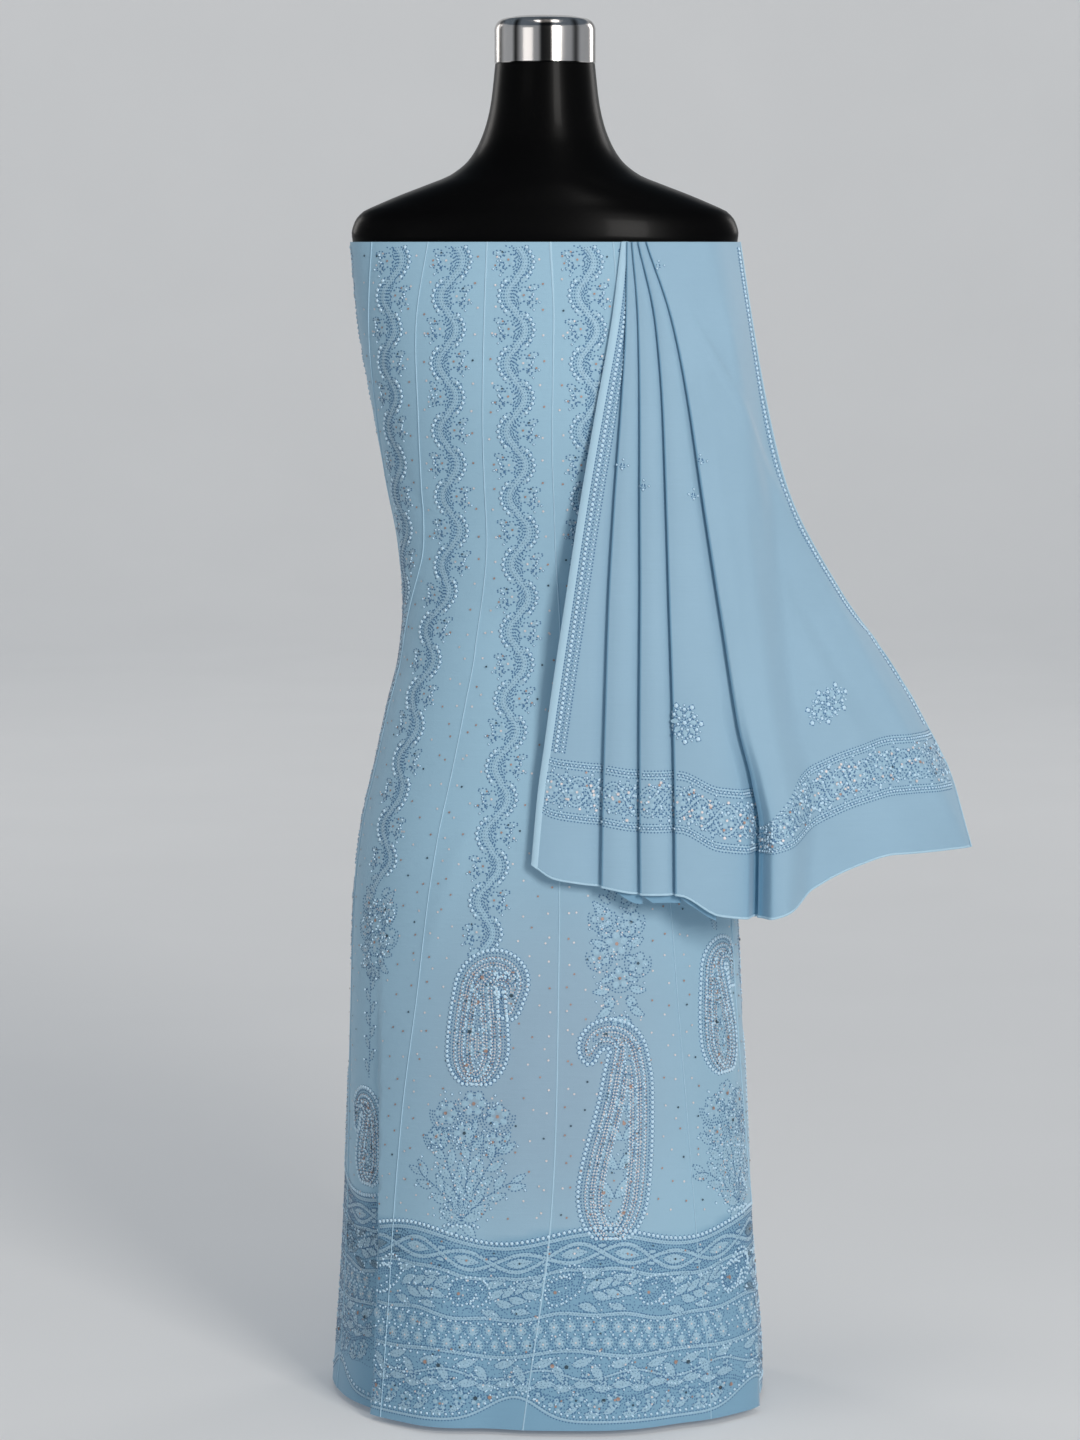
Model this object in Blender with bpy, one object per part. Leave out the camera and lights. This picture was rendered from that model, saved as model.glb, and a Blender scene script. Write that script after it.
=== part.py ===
"""Anarkali kurta set on a limbless dress form.

A kurta of flared gores (kalis) is wrapped round a glossy torso form, and its
scarf (dupatta) is knife pleated over the bust and fanned out to one side.
Everything is in metres with +Z up. The front faces -Y, and the origin is the
centre of the base plate's underside, on the floor.
"""
import math

import bmesh
import bpy
import numpy as np

# Driving sizes of the kurta
KURTA_TOP = 1.159
KURTA_HEM = 0.006
KURTA_WALL = 0.0015
SEAM_GAP = 0.0003
FRONT_KALI_COLUMNS = 6
BACK_KALI_COLUMNS = 8
KURTA_ROWS = 22

# Driving sizes of the dress form and its stand
FORM_CLEARANCE = 0.0011
FORM_COLUMNS = 42
FORM_BOTTOM = 0.500
NECK_TOP = 1.3326
CAP_RADIUS = 0.0498
CAP_TOP = 1.380
POLE_RADIUS = 0.0125
FLANGE_RADIUS = 0.032
BASE_RADIUS = 0.130
BASE_HEIGHT = 0.014
CONTACT_GAP = 0.0003
ROUND_STEPS = 36

# Driving sizes of the dupatta
DUPATTA_WALL = 0.001
DUPATTA_GAP = 0.0005
DUPATTA_ROWS = 12
LAYER_PITCH_TOP = 0.0019
LAYER_PITCH_HEM = 0.0034
UNDERLAP_TOP = 0.052
UNDERLAP_HEM = 0.036
LAST_UNDERLAP_CUT = 0.55
FOLD_TURN_STEPS = 2
FORWARD_STEPS = 4
RETURN_STEPS = 2
WING_STEPS = 12
VALLEY_LAYERS = 5.2
VALLEY_START = 0.64
VALLEY_GROWTH = 0.30
VALLEY_MARGIN = 0.003
VALLEY_WIDTH = 0.016
VALLEY_LEAST_WIDTH = 0.008
WING_RISE = 0.007

# Outer size of the kurta at each height, as half widths to either side and
# depths to the front and back of the form's axis. Squareness 2 is an ellipse.
BODY_COLUMNS = ("height", "left", "right", "front", "back", "squareness")
BODY = (
    (0.006, 0.2120, 0.2270, 0.175, 0.168, 2.35),
    (0.060, 0.2075, 0.2250, 0.172, 0.165, 2.35),
    (0.150, 0.2025, 0.2160, 0.165, 0.159, 2.30),
    (0.280, 0.1990, 0.2054, 0.155, 0.150, 2.25),
    (0.400, 0.1960, 0.1975, 0.147, 0.142, 2.20),
    (0.510, 0.1920, 0.1920, 0.138, 0.134, 2.15),
    (0.582, 0.1840, 0.1840, 0.131, 0.127, 2.10),
    (0.640, 0.1710, 0.1710, 0.122, 0.118, 2.05),
    (0.705, 0.1568, 0.1568, 0.110, 0.106, 2.00),
    (0.750, 0.1460, 0.1460, 0.102, 0.096, 2.00),
    (0.800, 0.1415, 0.1415, 0.097, 0.089, 2.00),
    (0.860, 0.1455, 0.1455, 0.101, 0.088, 2.00),
    (0.925, 0.1580, 0.1580, 0.112, 0.090, 2.05),
    (1.000, 0.1718, 0.1718, 0.122, 0.092, 2.10),
    (1.080, 0.1849, 0.1849, 0.112, 0.088, 2.15),
    (1.159, 0.1924, 0.1912, 0.088, 0.082, 2.20),
)

# Seam angles in degrees, from straight ahead towards the form's left (+X).
# The kali between two seams is named for its place round the form.
SEAM_COLUMNS = ("height", "s1", "s2", "s3", "s4", "s5", "s6", "s7", "s8", "s9", "s10")
SEAMS = (
    (0.006, -114, -86, -47, -4, 43, 80, 116, 148, 180, 212),
    (0.160, -113, -85, -46, 0, 42, 77, 114, 147, 180, 213),
    (0.300, -112, -84, -43, 2, 41, 75, 112, 146, 180, 214),
    (0.450, -110, -82, -37, 3, 39, 73, 110, 145, 180, 215),
    (0.600, -106, -80, -33, 4, 37, 71, 107, 144, 180, 216),
    (0.770, -99, -76, -28, 6, 34, 66, 100, 140, 180, 220),
    (0.860, -90, -55, -23, 4, 30, 56, 91, 137, 180, 224),
    (0.980, -78, -46, -20, 2, 25, 47, 80, 131, 180, 230),
    (1.080, -68, -41, -17, 2, 21, 41, 69, 126, 180, 236),
    (1.159, -60, -34, -15, 1, 18, 34, 62, 122, 180, 240),
)
FRONT_KALIS = 6

# Lengthwise folds of the skirt: a bell of some width round an angle, raised
# (or sunk, where negative) to its full height at the hem.
FOLD_COLUMNS = ("angle", "width", "height_at_hem", "top")
SKIRT_FOLDS = (
    (-28, 9, 0.0040, 0.42),
    (-12, 7, -0.0050, 0.36),
    (14, 10, 0.0035, 0.50),
    (33, 8, -0.0035, 0.44),
    (64, 9, 0.0050, 0.50),
    (-96, 8, 0.0060, 0.46),
    (104, 9, -0.0070, 0.52),
    (124, 9, 0.0080, 0.58),
    (146, 9, -0.0080, 0.60),
    (168, 10, 0.0090, 0.64),
    (191, 9, -0.0080, 0.62),
    (213, 10, 0.0085, 0.58),
    (236, 9, -0.0070, 0.55),
)

# Two sharp tucks of the skirt, where the front lies over the side. The step
# is at the angle, and the sunk part comes out again over the run.
TUCK_COLUMNS = ("angle_hem", "angle_top", "step", "run", "top")
TUCKS = (
    (-52.0, -55.0, 0.0150, -46.0, 0.52),
    (66.0, 84.0, 0.0100, 50.0, 0.36),
)
TUCK_EDGE = 1.6


def named_rows(table, names):
    """Return a table's rows as dictionaries by column name."""
    return [dict(zip(names, row)) for row in table]


def column(table, names, name):
    """Return one named column of a table as an array."""
    return np.array([row[names.index(name)] for row in table], dtype=float)


def smooth_at(heights, values, height):
    """Read a table's column at a height on a curve without overshoot."""
    slopes = np.diff(values) / np.diff(heights)
    tangents = np.zeros(len(values))
    tangents[0] = slopes[0]
    tangents[-1] = slopes[-1]
    for i in range(1, len(values) - 1):
        if slopes[i - 1] * slopes[i] > 0:
            tangents[i] = 2 * slopes[i - 1] * slopes[i] / (slopes[i - 1] + slopes[i])
    height = min(max(height, heights[0]), heights[-1])
    i = min(int(np.searchsorted(heights, height, side="right")) - 1, len(values) - 2)
    step = heights[i + 1] - heights[i]
    t = (height - heights[i]) / step
    start = (2 * t**3 - 3 * t**2 + 1) * values[i] + (t**3 - 2 * t**2 + t) * step * tangents[i]
    end = (3 * t**2 - 2 * t**3) * values[i + 1] + (t**3 - t**2) * step * tangents[i + 1]
    return start + end


def body_size(name, height):
    """Return one of the body's sizes at a height."""
    return smooth_at(column(BODY, BODY_COLUMNS, "height"), column(BODY, BODY_COLUMNS, name), height)


def seam_angle(index, height):
    """Return a seam's angle in radians at a height."""
    turns, seam = divmod(index, len(SEAM_COLUMNS) - 1)
    heights = column(SEAMS, SEAM_COLUMNS, "height")
    degrees = smooth_at(heights, column(SEAMS, SEAM_COLUMNS, SEAM_COLUMNS[seam + 1]), height)
    return math.radians(degrees + 360 * turns)


def ease(t):
    """Return a smooth step from 0 to 1."""
    t = min(max(t, 0.0), 1.0)
    return t * t * (3 - 2 * t)


def fall(height, top):
    """Return how far a skirt fold has grown, from 0 at its top to 1 at the hem."""
    return ease((top - height) / (top - KURTA_HEM))


def turn_between(angle, reference):
    """Return the difference of two angles in degrees, from -180 to 180."""
    return (angle - reference + 180) % 360 - 180


def tuck_edge(tuck, height):
    """Return the angle in degrees of a tuck's folded edge at a height."""
    growth = fall(height, tuck["top"])
    return tuck["angle_top"] + (tuck["angle_hem"] - tuck["angle_top"]) * growth


def skirt_relief(angle, height):
    """Return how far the folds and tucks move the cloth outwards."""
    degrees = math.degrees(angle)
    relief = 0.0
    for fold in named_rows(SKIRT_FOLDS, FOLD_COLUMNS):
        away = turn_between(degrees, fold["angle"]) / fold["width"]
        relief += fold["height_at_hem"] * fall(height, fold["top"]) * math.exp(-away * away)
    for tuck in named_rows(TUCKS, TUCK_COLUMNS):
        run = tuck["run"]
        past = turn_between(degrees, tuck_edge(tuck, height)) * math.copysign(1, run)
        if past > 0:
            sunk = min(past / TUCK_EDGE, 1.0) * (1 - ease(past / abs(run)))
            relief -= tuck["step"] * fall(height, tuck["top"]) * sunk
    return relief


def ring_point(angle, height, outwards, relief=True):
    """Return a point of the kurta's outer surface, moved outwards."""
    sine = math.sin(angle)
    cosine = math.cos(angle)
    half = body_size("right" if sine > 0 else "left", height)
    depth = body_size("front" if cosine > 0 else "back", height)
    power = 2 / body_size("squareness", height)
    x = math.copysign(half * abs(sine) ** power, sine)
    y = -math.copysign(depth * abs(cosine) ** power, cosine)
    normal = np.array([x / half**2, y / depth**2])
    normal /= np.linalg.norm(normal)
    if relief:
        outwards += skirt_relief(angle, height)
    return np.array([x + normal[0] * outwards, y + normal[1] * outwards, height])


def sheet_solid(outer, inner):
    """Make a closed wall from two grids of points of the same size."""
    rows, columns = outer.shape[:2]
    mesh = bmesh.new()
    front = [[mesh.verts.new(outer[i, j]) for j in range(columns)] for i in range(rows)]
    back = [[mesh.verts.new(inner[i, j]) for j in range(columns)] for i in range(rows)]
    for i in range(rows - 1):
        for j in range(columns - 1):
            mesh.faces.new((front[i][j], front[i][j + 1], front[i + 1][j + 1], front[i + 1][j]))
            mesh.faces.new((back[i][j], back[i + 1][j], back[i + 1][j + 1], back[i][j + 1]))
    for i in range(rows - 1):
        mesh.faces.new((front[i][0], front[i + 1][0], back[i + 1][0], back[i][0]))
        mesh.faces.new((front[i][-1], back[i][-1], back[i + 1][-1], front[i + 1][-1]))
    for j in range(columns - 1):
        mesh.faces.new((front[0][j], back[0][j], back[0][j + 1], front[0][j + 1]))
        mesh.faces.new((front[-1][j], front[-1][j + 1], back[-1][j + 1], back[-1][j]))
    return mesh


def add_object(name, mesh, material, sharp_degrees=50):
    """Turn a bmesh into a smooth shaded object with outward faces."""
    bmesh.ops.recalc_face_normals(mesh, faces=mesh.faces)
    bmesh.ops.triangulate(mesh, faces=mesh.faces)
    data = bpy.data.meshes.new(name)
    mesh.to_mesh(data)
    mesh.free()
    data.materials.append(material)
    data.shade_smooth()
    data.set_sharp_from_angle(angle=math.radians(sharp_degrees))
    item = bpy.data.objects.new(name, data)
    bpy.context.scene.collection.objects.link(item)
    return item


def make_material(name, colour, roughness, metallic=0.0):
    """Make a plain material with a colour, roughness and metallic value."""
    material = bpy.data.materials.new(name)
    material.use_nodes = True
    shader = material.node_tree.nodes["Principled BSDF"]
    shader.inputs["Base Color"].default_value = (*colour, 1.0)
    shader.inputs["Roughness"].default_value = roughness
    shader.inputs["Metallic"].default_value = metallic
    return material


def kali_heights():
    """Return the heights of the kurta's rows, evenly spaced."""
    return np.linspace(KURTA_HEM, KURTA_TOP, KURTA_ROWS)


def kali_angles(first, second, height, columns):
    """Return the angles of a kali's columns, with the tucks' edges between."""
    angles = list(np.linspace(first, second, columns + 1))
    for tuck in named_rows(TUCKS, TUCK_COLUMNS):
        for past in (0.0, TUCK_EDGE * math.copysign(1, tuck["run"])):
            angle = math.radians(tuck_edge(tuck, height) + past)
            while angle < first:
                angle += 2 * math.pi
            if first < angle < second:
                angles[nearest_inner(angles, angle)] = angle
    return sorted(angles)


def nearest_inner(values, target):
    """Return the index of the inner value that lies nearest to a target."""
    inner = range(1, len(values) - 1)
    return min(inner, key=lambda i: abs(values[i] - target))


def add_kali(name, seam, columns, material):
    """Make one gore of the kurta, between a seam and the next one round."""
    outer = []
    inner = []
    for height in kali_heights():
        start = seam_angle(seam, height)
        end = seam_angle(seam + 1, height)
        half_gap = SEAM_GAP / 2 / body_size("front", height)
        angles = kali_angles(start + half_gap, end - half_gap, height, columns)
        outer.append([ring_point(angle, height, 0.0) for angle in angles])
        inner.append([ring_point(angle, height, -KURTA_WALL) for angle in angles])
    return add_object(name, sheet_solid(np.array(outer), np.array(inner)), material)


def add_kurta(material):
    """Make the front and back kalis of the kurta."""
    seams = len(SEAM_COLUMNS) - 1
    for seam in range(seams):
        if seam < FRONT_KALIS:
            add_kali(f"kurta_front_kali_{seam + 1}", seam, FRONT_KALI_COLUMNS, material)
        else:
            number = seam + 1 - FRONT_KALIS
            add_kali(f"kurta_back_kali_{number}", seam, BACK_KALI_COLUMNS, material)


# Outline of the form above the kurta: height, half width and half depth.
SHOULDERS = (
    (1.1670, 0.1908, 0.0820),
    (1.1785, 0.1878, 0.0800),
    (1.1883, 0.1799, 0.0780),
    (1.1952, 0.1656, 0.0765),
    (1.2050, 0.1424, 0.0750),
    (1.2147, 0.1171, 0.0730),
    (1.2245, 0.0932, 0.0700),
    (1.2392, 0.0751, 0.0650),
    (1.2587, 0.0635, 0.0590),
    (1.2782, 0.0568, 0.0550),
    (1.2976, 0.0529, 0.0520),
    (1.3326, 0.0490, 0.0490),
)

# Rounded underside of the form: height and share of the body's size.
UNDERSIDE = (
    (0.500, 0.45),
    (0.504, 0.68),
    (0.518, 0.85),
    (0.545, 0.92),
    (0.590, 0.97),
)


def form_ring(height, share):
    """Return one ring of the form inside the kurta."""
    inset = -(KURTA_WALL + FORM_CLEARANCE)
    ring = []
    for j in range(FORM_COLUMNS):
        point = ring_point(2 * math.pi * j / FORM_COLUMNS, height, inset, relief=False)
        ring.append((point[0] * share, point[1] * share, height))
    return ring


def shoulder_ring(height, half_width, half_depth):
    """Return one ring of the form's shoulders or neck."""
    ring = []
    for j in range(FORM_COLUMNS):
        angle = 2 * math.pi * j / FORM_COLUMNS
        ring.append((half_width * math.sin(angle), -half_depth * math.cos(angle), height))
    return ring


def loft(rings):
    """Make a closed body through rings of the same number of points."""
    mesh = bmesh.new()
    rows = [[mesh.verts.new(point) for point in ring] for ring in rings]
    count = len(rings[0])
    for low, high in zip(rows, rows[1:]):
        for j in range(count):
            k = (j + 1) % count
            mesh.faces.new((low[j], low[k], high[k], high[j]))
    mesh.faces.new(list(reversed(rows[0])))
    mesh.faces.new(rows[-1])
    return mesh


def add_torso(material):
    """Make the limbless torso of the dress form, neck included."""
    rings = [form_ring(height, share) for height, share in UNDERSIDE]
    for height in kali_heights():
        if height > UNDERSIDE[-1][0]:
            rings.append(form_ring(height, 1.0))
    rings += [shoulder_ring(*row) for row in SHOULDERS]
    return add_object("dress_form_torso", loft(rings), material, sharp_degrees=60)


def turned(profile):
    """Make a closed body by turning a profile of radius and height pairs."""
    rings = []
    for radius, height in profile:
        ring = []
        for j in range(ROUND_STEPS):
            angle = 2 * math.pi * j / ROUND_STEPS
            ring.append((radius * math.sin(angle), -radius * math.cos(angle), height))
        rings.append(ring)
    return loft(rings)


def add_neck_cap(material):
    """Make the chrome cap on the neck, with a rounded rim and a domed top."""
    bottom = NECK_TOP + CONTACT_GAP
    profile = [(CAP_RADIUS - 0.001, bottom), (CAP_RADIUS, bottom + 0.001)]
    rim = 0.012
    for step in range(6):
        angle = math.pi / 2 * step / 5
        radius = CAP_RADIUS - rim + rim * math.cos(angle)
        profile.append((radius, CAP_TOP - 0.003 - rim + rim * math.sin(angle)))
    profile.append((CAP_RADIUS * 0.4, CAP_TOP - 0.0006))
    profile.append((CAP_RADIUS * 0.1, CAP_TOP))
    return add_object("neck_cap", turned(profile), material)


def add_stand_pole(material):
    """Make the pole with its flanges under the form and on the plate."""
    bottom = BASE_HEIGHT + CONTACT_GAP
    top = FORM_BOTTOM - CONTACT_GAP
    flange = 0.006
    fillet = 0.016
    profile = [
        (FLANGE_RADIUS, bottom),
        (FLANGE_RADIUS, bottom + flange),
        (POLE_RADIUS + 0.006, bottom + flange + 0.004),
        (POLE_RADIUS, bottom + flange + fillet),
        (POLE_RADIUS, top - flange - fillet),
        (POLE_RADIUS + 0.006, top - flange - 0.004),
        (FLANGE_RADIUS, top - flange),
        (FLANGE_RADIUS, top),
    ]
    return add_object("stand_pole", turned(profile), material)


def add_base_plate(material):
    """Make the round weighted plate that the form stands on."""
    edge = 0.003
    profile = [
        (BASE_RADIUS - edge, 0.0),
        (BASE_RADIUS, edge),
        (BASE_RADIUS, BASE_HEIGHT - 2 * edge),
        (BASE_RADIUS - edge, BASE_HEIGHT - edge),
        (FLANGE_RADIUS + edge, BASE_HEIGHT),
    ]
    return add_object("base_plate", turned(profile), material)


# Folded edges of the dupatta at each height: the left edge, the left folds of
# three pleats and of the wing, and the right edge, as X. The sheet lies on an
# upright curve that spreads sideways and stands in front of the kurta.
DUPATTA_COLUMNS = ("height", "left", "fold_1", "fold_2", "fold_3", "fold_4", "right", "spread", "front")
DUPATTA = (
    (0.520, -0.0135, 0.0560, 0.0926, 0.1254, 0.2065, 0.4220, 0.4380, 0.1520),
    (0.600, -0.0070, 0.0570, 0.0920, 0.1248, 0.2075, 0.4020, 0.4180, 0.1420),
    (0.650, -0.0009, 0.0582, 0.0919, 0.1239, 0.1985, 0.3780, 0.3940, 0.1370),
    (0.700, 0.0052, 0.0595, 0.0918, 0.1227, 0.1844, 0.3520, 0.3680, 0.1330),
    (0.800, 0.0192, 0.0622, 0.0919, 0.1186, 0.1663, 0.2900, 0.3050, 0.1290),
    (0.900, 0.0335, 0.0672, 0.0909, 0.1146, 0.1487, 0.2425, 0.2560, 0.1270),
    (1.000, 0.0498, 0.0737, 0.0902, 0.1104, 0.1327, 0.2172, 0.2270, 0.1245),
    (1.080, 0.0636, 0.0779, 0.0886, 0.1035, 0.1171, 0.2025, 0.2080, 0.1137),
    (1.159, 0.0735, 0.0793, 0.0831, 0.0880, 0.0947, 0.1905, 0.1920, 0.0888),
)
DUPATTA_FOLDS = 4
DUPATTA_LOWEST_ROW = 0.520

# Height of the dupatta's lower edge at places across it.
DUPATTA_HEM_COLUMNS = ("across", "height")
DUPATTA_HEM = (
    (-0.0135, 0.560),
    (0.008, 0.546),
    (0.029, 0.542),
    (0.056, 0.538),
    (0.093, 0.532),
    (0.126, 0.532),
    (0.165, 0.512),
    (0.205, 0.508),
    (0.233, 0.514),
    (0.260, 0.532),
    (0.306, 0.553),
    (0.344, 0.562),
    (0.422, 0.561),
)

# Line of the soft ridge that runs down the wing to its right edge.
RIDGE_COLUMNS = ("height", "across")
RIDGE = (
    (0.740, 0.310),
    (0.905, 0.218),
    (1.000, 0.158),
    (1.100, 0.122),
    (1.159, 0.108),
)
RIDGE_RAISED = 0.004
RIDGE_WIDTH = 0.022
WING_SETTLE = 0.040


def dupatta_size(name, height):
    """Return one of the dupatta's sizes at a height."""
    heights = column(DUPATTA, DUPATTA_COLUMNS, "height")
    return smooth_at(heights, column(DUPATTA, DUPATTA_COLUMNS, name), height)


def dupatta_hem(x):
    """Return the height of the dupatta's lower edge at a place across it."""
    across = column(DUPATTA_HEM, DUPATTA_HEM_COLUMNS, "across")
    return smooth_at(across, column(DUPATTA_HEM, DUPATTA_HEM_COLUMNS, "height"), x)


def fold_turn(x, level, bulge):
    """Return the points of a turn from one layer up to the next."""
    points = []
    for step in range(1, FOLD_TURN_STEPS + 1):
        angle = math.pi * step / (FOLD_TURN_STEPS + 1)
        points.append((x + bulge * math.sin(angle), level + (1 - math.cos(angle)) / 2))
    return points


def run_between(start, end, level, steps):
    """Return evenly spaced points of one layer between two folds."""
    return [(start + (end - start) * i / steps, level) for i in range(steps + 1)]


def valley_run(start, end, level, dip, clear, bottom):
    """Return the last pleat's points, which sink into the valley by the wing.

    The sinking starts where the layers behind have ended, and is done at the
    wing's fold.
    """
    flat = run_between(start, clear, level, 2)
    sinking = []
    for i in range(1, 4):
        share = i / 3
        sinking.append((clear + (bottom - clear) * share, level - dip * ease(share)))
    return flat + sinking + [(end, level - dip)]


def dupatta_path(down):
    """Return the pleated section as places across and layer numbers."""
    height = KURTA_TOP + (DUPATTA_LOWEST_ROW - KURTA_TOP) * down
    underlap = UNDERLAP_TOP + (UNDERLAP_HEM - UNDERLAP_TOP) * down
    pitch = LAYER_PITCH_TOP + (LAYER_PITCH_HEM - LAYER_PITCH_TOP) * down
    start = dupatta_size("left", height)
    path = []
    level = 0
    dip = VALLEY_LAYERS * ease((down - VALLEY_START) / VALLEY_GROWTH)
    for fold in range(1, DUPATTA_FOLDS + 1):
        folded = dupatta_size(f"fold_{fold}", height)
        if fold < DUPATTA_FOLDS:
            under = underlap
            path += run_between(start, folded + under, level, FORWARD_STEPS)
        else:
            under = underlap * (1 - LAST_UNDERLAP_CUT * down)
            clear = max(start + underlap + VALLEY_MARGIN, folded - VALLEY_WIDTH)
            clear = min(clear, folded - min(VALLEY_LEAST_WIDTH, (folded - start) / 2))
            bottom = folded - min(VALLEY_MARGIN, (folded - start) / 4)
            path += valley_run(start, folded + under, level, dip, clear, bottom)
            level -= dip
        path += fold_turn(folded + under, level, pitch / 2)
        path += run_between(folded + under, folded, level + 1, RETURN_STEPS)
        path += fold_turn(folded, level + 1, -pitch / 2)
        start = folded
        level += 2
    settle = start + under
    right = dupatta_size("right", height)
    crest = start + WING_RISE
    places = [start, start + WING_RISE / 2]
    places += [crest + (right - crest) * i / WING_STEPS for i in range(WING_STEPS + 1)]
    for x in places:
        raised = level + dip * ease((x - start) / WING_RISE)
        path.append((x, raised * (1 - ease((x - settle) / WING_SETTLE))))
    return path


def wing_ridge(x, height):
    """Return how far the wing's soft ridge stands out."""
    heights = column(RIDGE, RIDGE_COLUMNS, "height")
    away = (x - smooth_at(heights, column(RIDGE, RIDGE_COLUMNS, "across"), height)) / RIDGE_WIDTH
    fades = ease((height - RIDGE[0][0]) / 0.12) * ease((KURTA_TOP - height) / 0.05)
    return RIDGE_RAISED * fades * math.exp(-away * away)


def dupatta_point(x, level, down, outwards):
    """Return a point of the dupatta's middle surface, moved outwards."""
    height = KURTA_TOP + (dupatta_hem(x) - KURTA_TOP) * down
    spread = dupatta_size("spread", height)
    depth = dupatta_size("front", height)
    power = body_size("squareness", height)
    share = min(abs(x) / spread, 0.9995)
    y = -depth * (1 - share**power) ** (1 / power)
    normal = np.array([x / spread**2, y / depth**2])
    normal /= np.linalg.norm(normal)
    pitch = LAYER_PITCH_TOP + (LAYER_PITCH_HEM - LAYER_PITCH_TOP) * down
    outwards += level * pitch + wing_ridge(x, height)
    return np.array([x + normal[0] * outwards, y + normal[1] * outwards, height])


def add_dupatta(material):
    """Make the pleated scarf as one continuous wall."""
    outer = []
    inner = []
    for down in np.linspace(0, 1, DUPATTA_ROWS):
        path = dupatta_path(down)
        lift = DUPATTA_WALL / 2 + DUPATTA_GAP
        middle = np.array([dupatta_point(x, level, down, lift) for x, level in path])
        along = np.gradient(middle[:, :2], axis=0)
        along /= np.linalg.norm(along, axis=1)[:, None]
        across = np.column_stack([along[:, 1], -along[:, 0], np.zeros(len(along))])
        outer.append(middle + across * DUPATTA_WALL / 2)
        inner.append(middle - across * DUPATTA_WALL / 2)
    return add_object("dupatta", sheet_solid(np.array(outer), np.array(inner)), material)


def build_all():
    """Make every piece of the set."""
    georgette = make_material("kurta_georgette", (0.27, 0.43, 0.55), 0.75)
    gloss = make_material("form_gloss_black", (0.008, 0.008, 0.009), 0.18)
    chrome = make_material("cap_chrome", (0.75, 0.75, 0.76), 0.12, 1.0)
    steel = make_material("stand_steel", (0.35, 0.35, 0.36), 0.35, 1.0)
    add_torso(gloss)
    add_neck_cap(chrome)
    add_stand_pole(steel)
    add_base_plate(steel)
    add_kurta(georgette)
    add_dupatta(make_material("dupatta_chiffon", (0.26, 0.45, 0.62), 0.7))


def main():
    """Clear the scene and build the set."""
    for item in list(bpy.data.objects):
        bpy.data.objects.remove(item, do_unlink=True)
    build_all()


if __name__ == "__main__":
    main()
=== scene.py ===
"""Looks of an anarkali kurta set on a limbless dress form.

The kurta's kalis and the pleated dupatta are thin shells of cloth on the
frame's solids. Their needlework is stitch by stitch: dotted stems, knots,
leaf pads and sequins, joined into a few meshes. All sizes are in metres.
"""

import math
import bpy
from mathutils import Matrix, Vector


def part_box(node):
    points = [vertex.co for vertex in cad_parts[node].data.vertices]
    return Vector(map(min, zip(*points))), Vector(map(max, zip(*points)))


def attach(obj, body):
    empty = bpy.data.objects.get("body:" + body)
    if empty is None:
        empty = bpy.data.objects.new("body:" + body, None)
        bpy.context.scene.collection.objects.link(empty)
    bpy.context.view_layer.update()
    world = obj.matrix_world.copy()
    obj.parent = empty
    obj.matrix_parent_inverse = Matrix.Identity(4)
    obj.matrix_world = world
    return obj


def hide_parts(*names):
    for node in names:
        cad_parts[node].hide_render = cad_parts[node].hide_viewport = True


bl_info = {
    "name": "Anarkali Kurta Set",
    "version": (1, 0, 0),
    "blender": (4, 5, 0),
    "location": "View3D > Sidebar > Kurta Set",
    "description": "Builds the cloth, needlework and dress form of a kurta set, piece by piece",
    "category": "Add Mesh",
}

import bpy
import numpy as np
from bpy.props import FloatProperty, FloatVectorProperty, IntProperty, PointerProperty

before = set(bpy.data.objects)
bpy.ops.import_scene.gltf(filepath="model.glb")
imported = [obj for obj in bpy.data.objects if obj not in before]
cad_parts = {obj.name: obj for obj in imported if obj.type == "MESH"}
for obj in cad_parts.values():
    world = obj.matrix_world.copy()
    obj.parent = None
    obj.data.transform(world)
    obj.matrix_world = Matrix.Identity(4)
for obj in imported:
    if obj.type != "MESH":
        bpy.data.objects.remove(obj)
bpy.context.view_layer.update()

BODY = "root"

# Sizes of the kurta, as in the frame
KURTA_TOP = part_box("kurta_front_kali_3")[1][2]
KURTA_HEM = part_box("kurta_front_kali_3")[0][2]
FRONT_KALIS = 6
BACK_KALIS = 4
KALIS = FRONT_KALIS + BACK_KALIS
FRONT_SEAM = 3
SEAM_GAP = 0.0003
CLOTH_WALL = 0.0009
CLOTH_SHARP = math.radians(60)

# Outer size of the kurta at each height, as half widths to either side and
# depths to the front and back of the form's axis. Squareness 2 is an ellipse.
BODY_COLUMNS = ("height", "left", "right", "front", "back", "squareness")
BODY_SIZES = (
    (0.006, 0.2120, 0.2270, 0.175, 0.168, 2.35),
    (0.060, 0.2075, 0.2250, 0.172, 0.165, 2.35),
    (0.150, 0.2025, 0.2160, 0.165, 0.159, 2.30),
    (0.280, 0.1990, 0.2054, 0.155, 0.150, 2.25),
    (0.400, 0.1960, 0.1975, 0.147, 0.142, 2.20),
    (0.510, 0.1920, 0.1920, 0.138, 0.134, 2.15),
    (0.582, 0.1840, 0.1840, 0.131, 0.127, 2.10),
    (0.640, 0.1710, 0.1710, 0.122, 0.118, 2.05),
    (0.705, 0.1568, 0.1568, 0.110, 0.106, 2.00),
    (0.750, 0.1460, 0.1460, 0.102, 0.096, 2.00),
    (0.800, 0.1415, 0.1415, 0.097, 0.089, 2.00),
    (0.860, 0.1455, 0.1455, 0.101, 0.088, 2.00),
    (0.925, 0.1580, 0.1580, 0.112, 0.090, 2.05),
    (1.000, 0.1718, 0.1718, 0.122, 0.092, 2.10),
    (1.080, 0.1849, 0.1849, 0.112, 0.088, 2.15),
    (1.159, 0.1924, 0.1912, 0.088, 0.082, 2.20),
)

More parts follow.
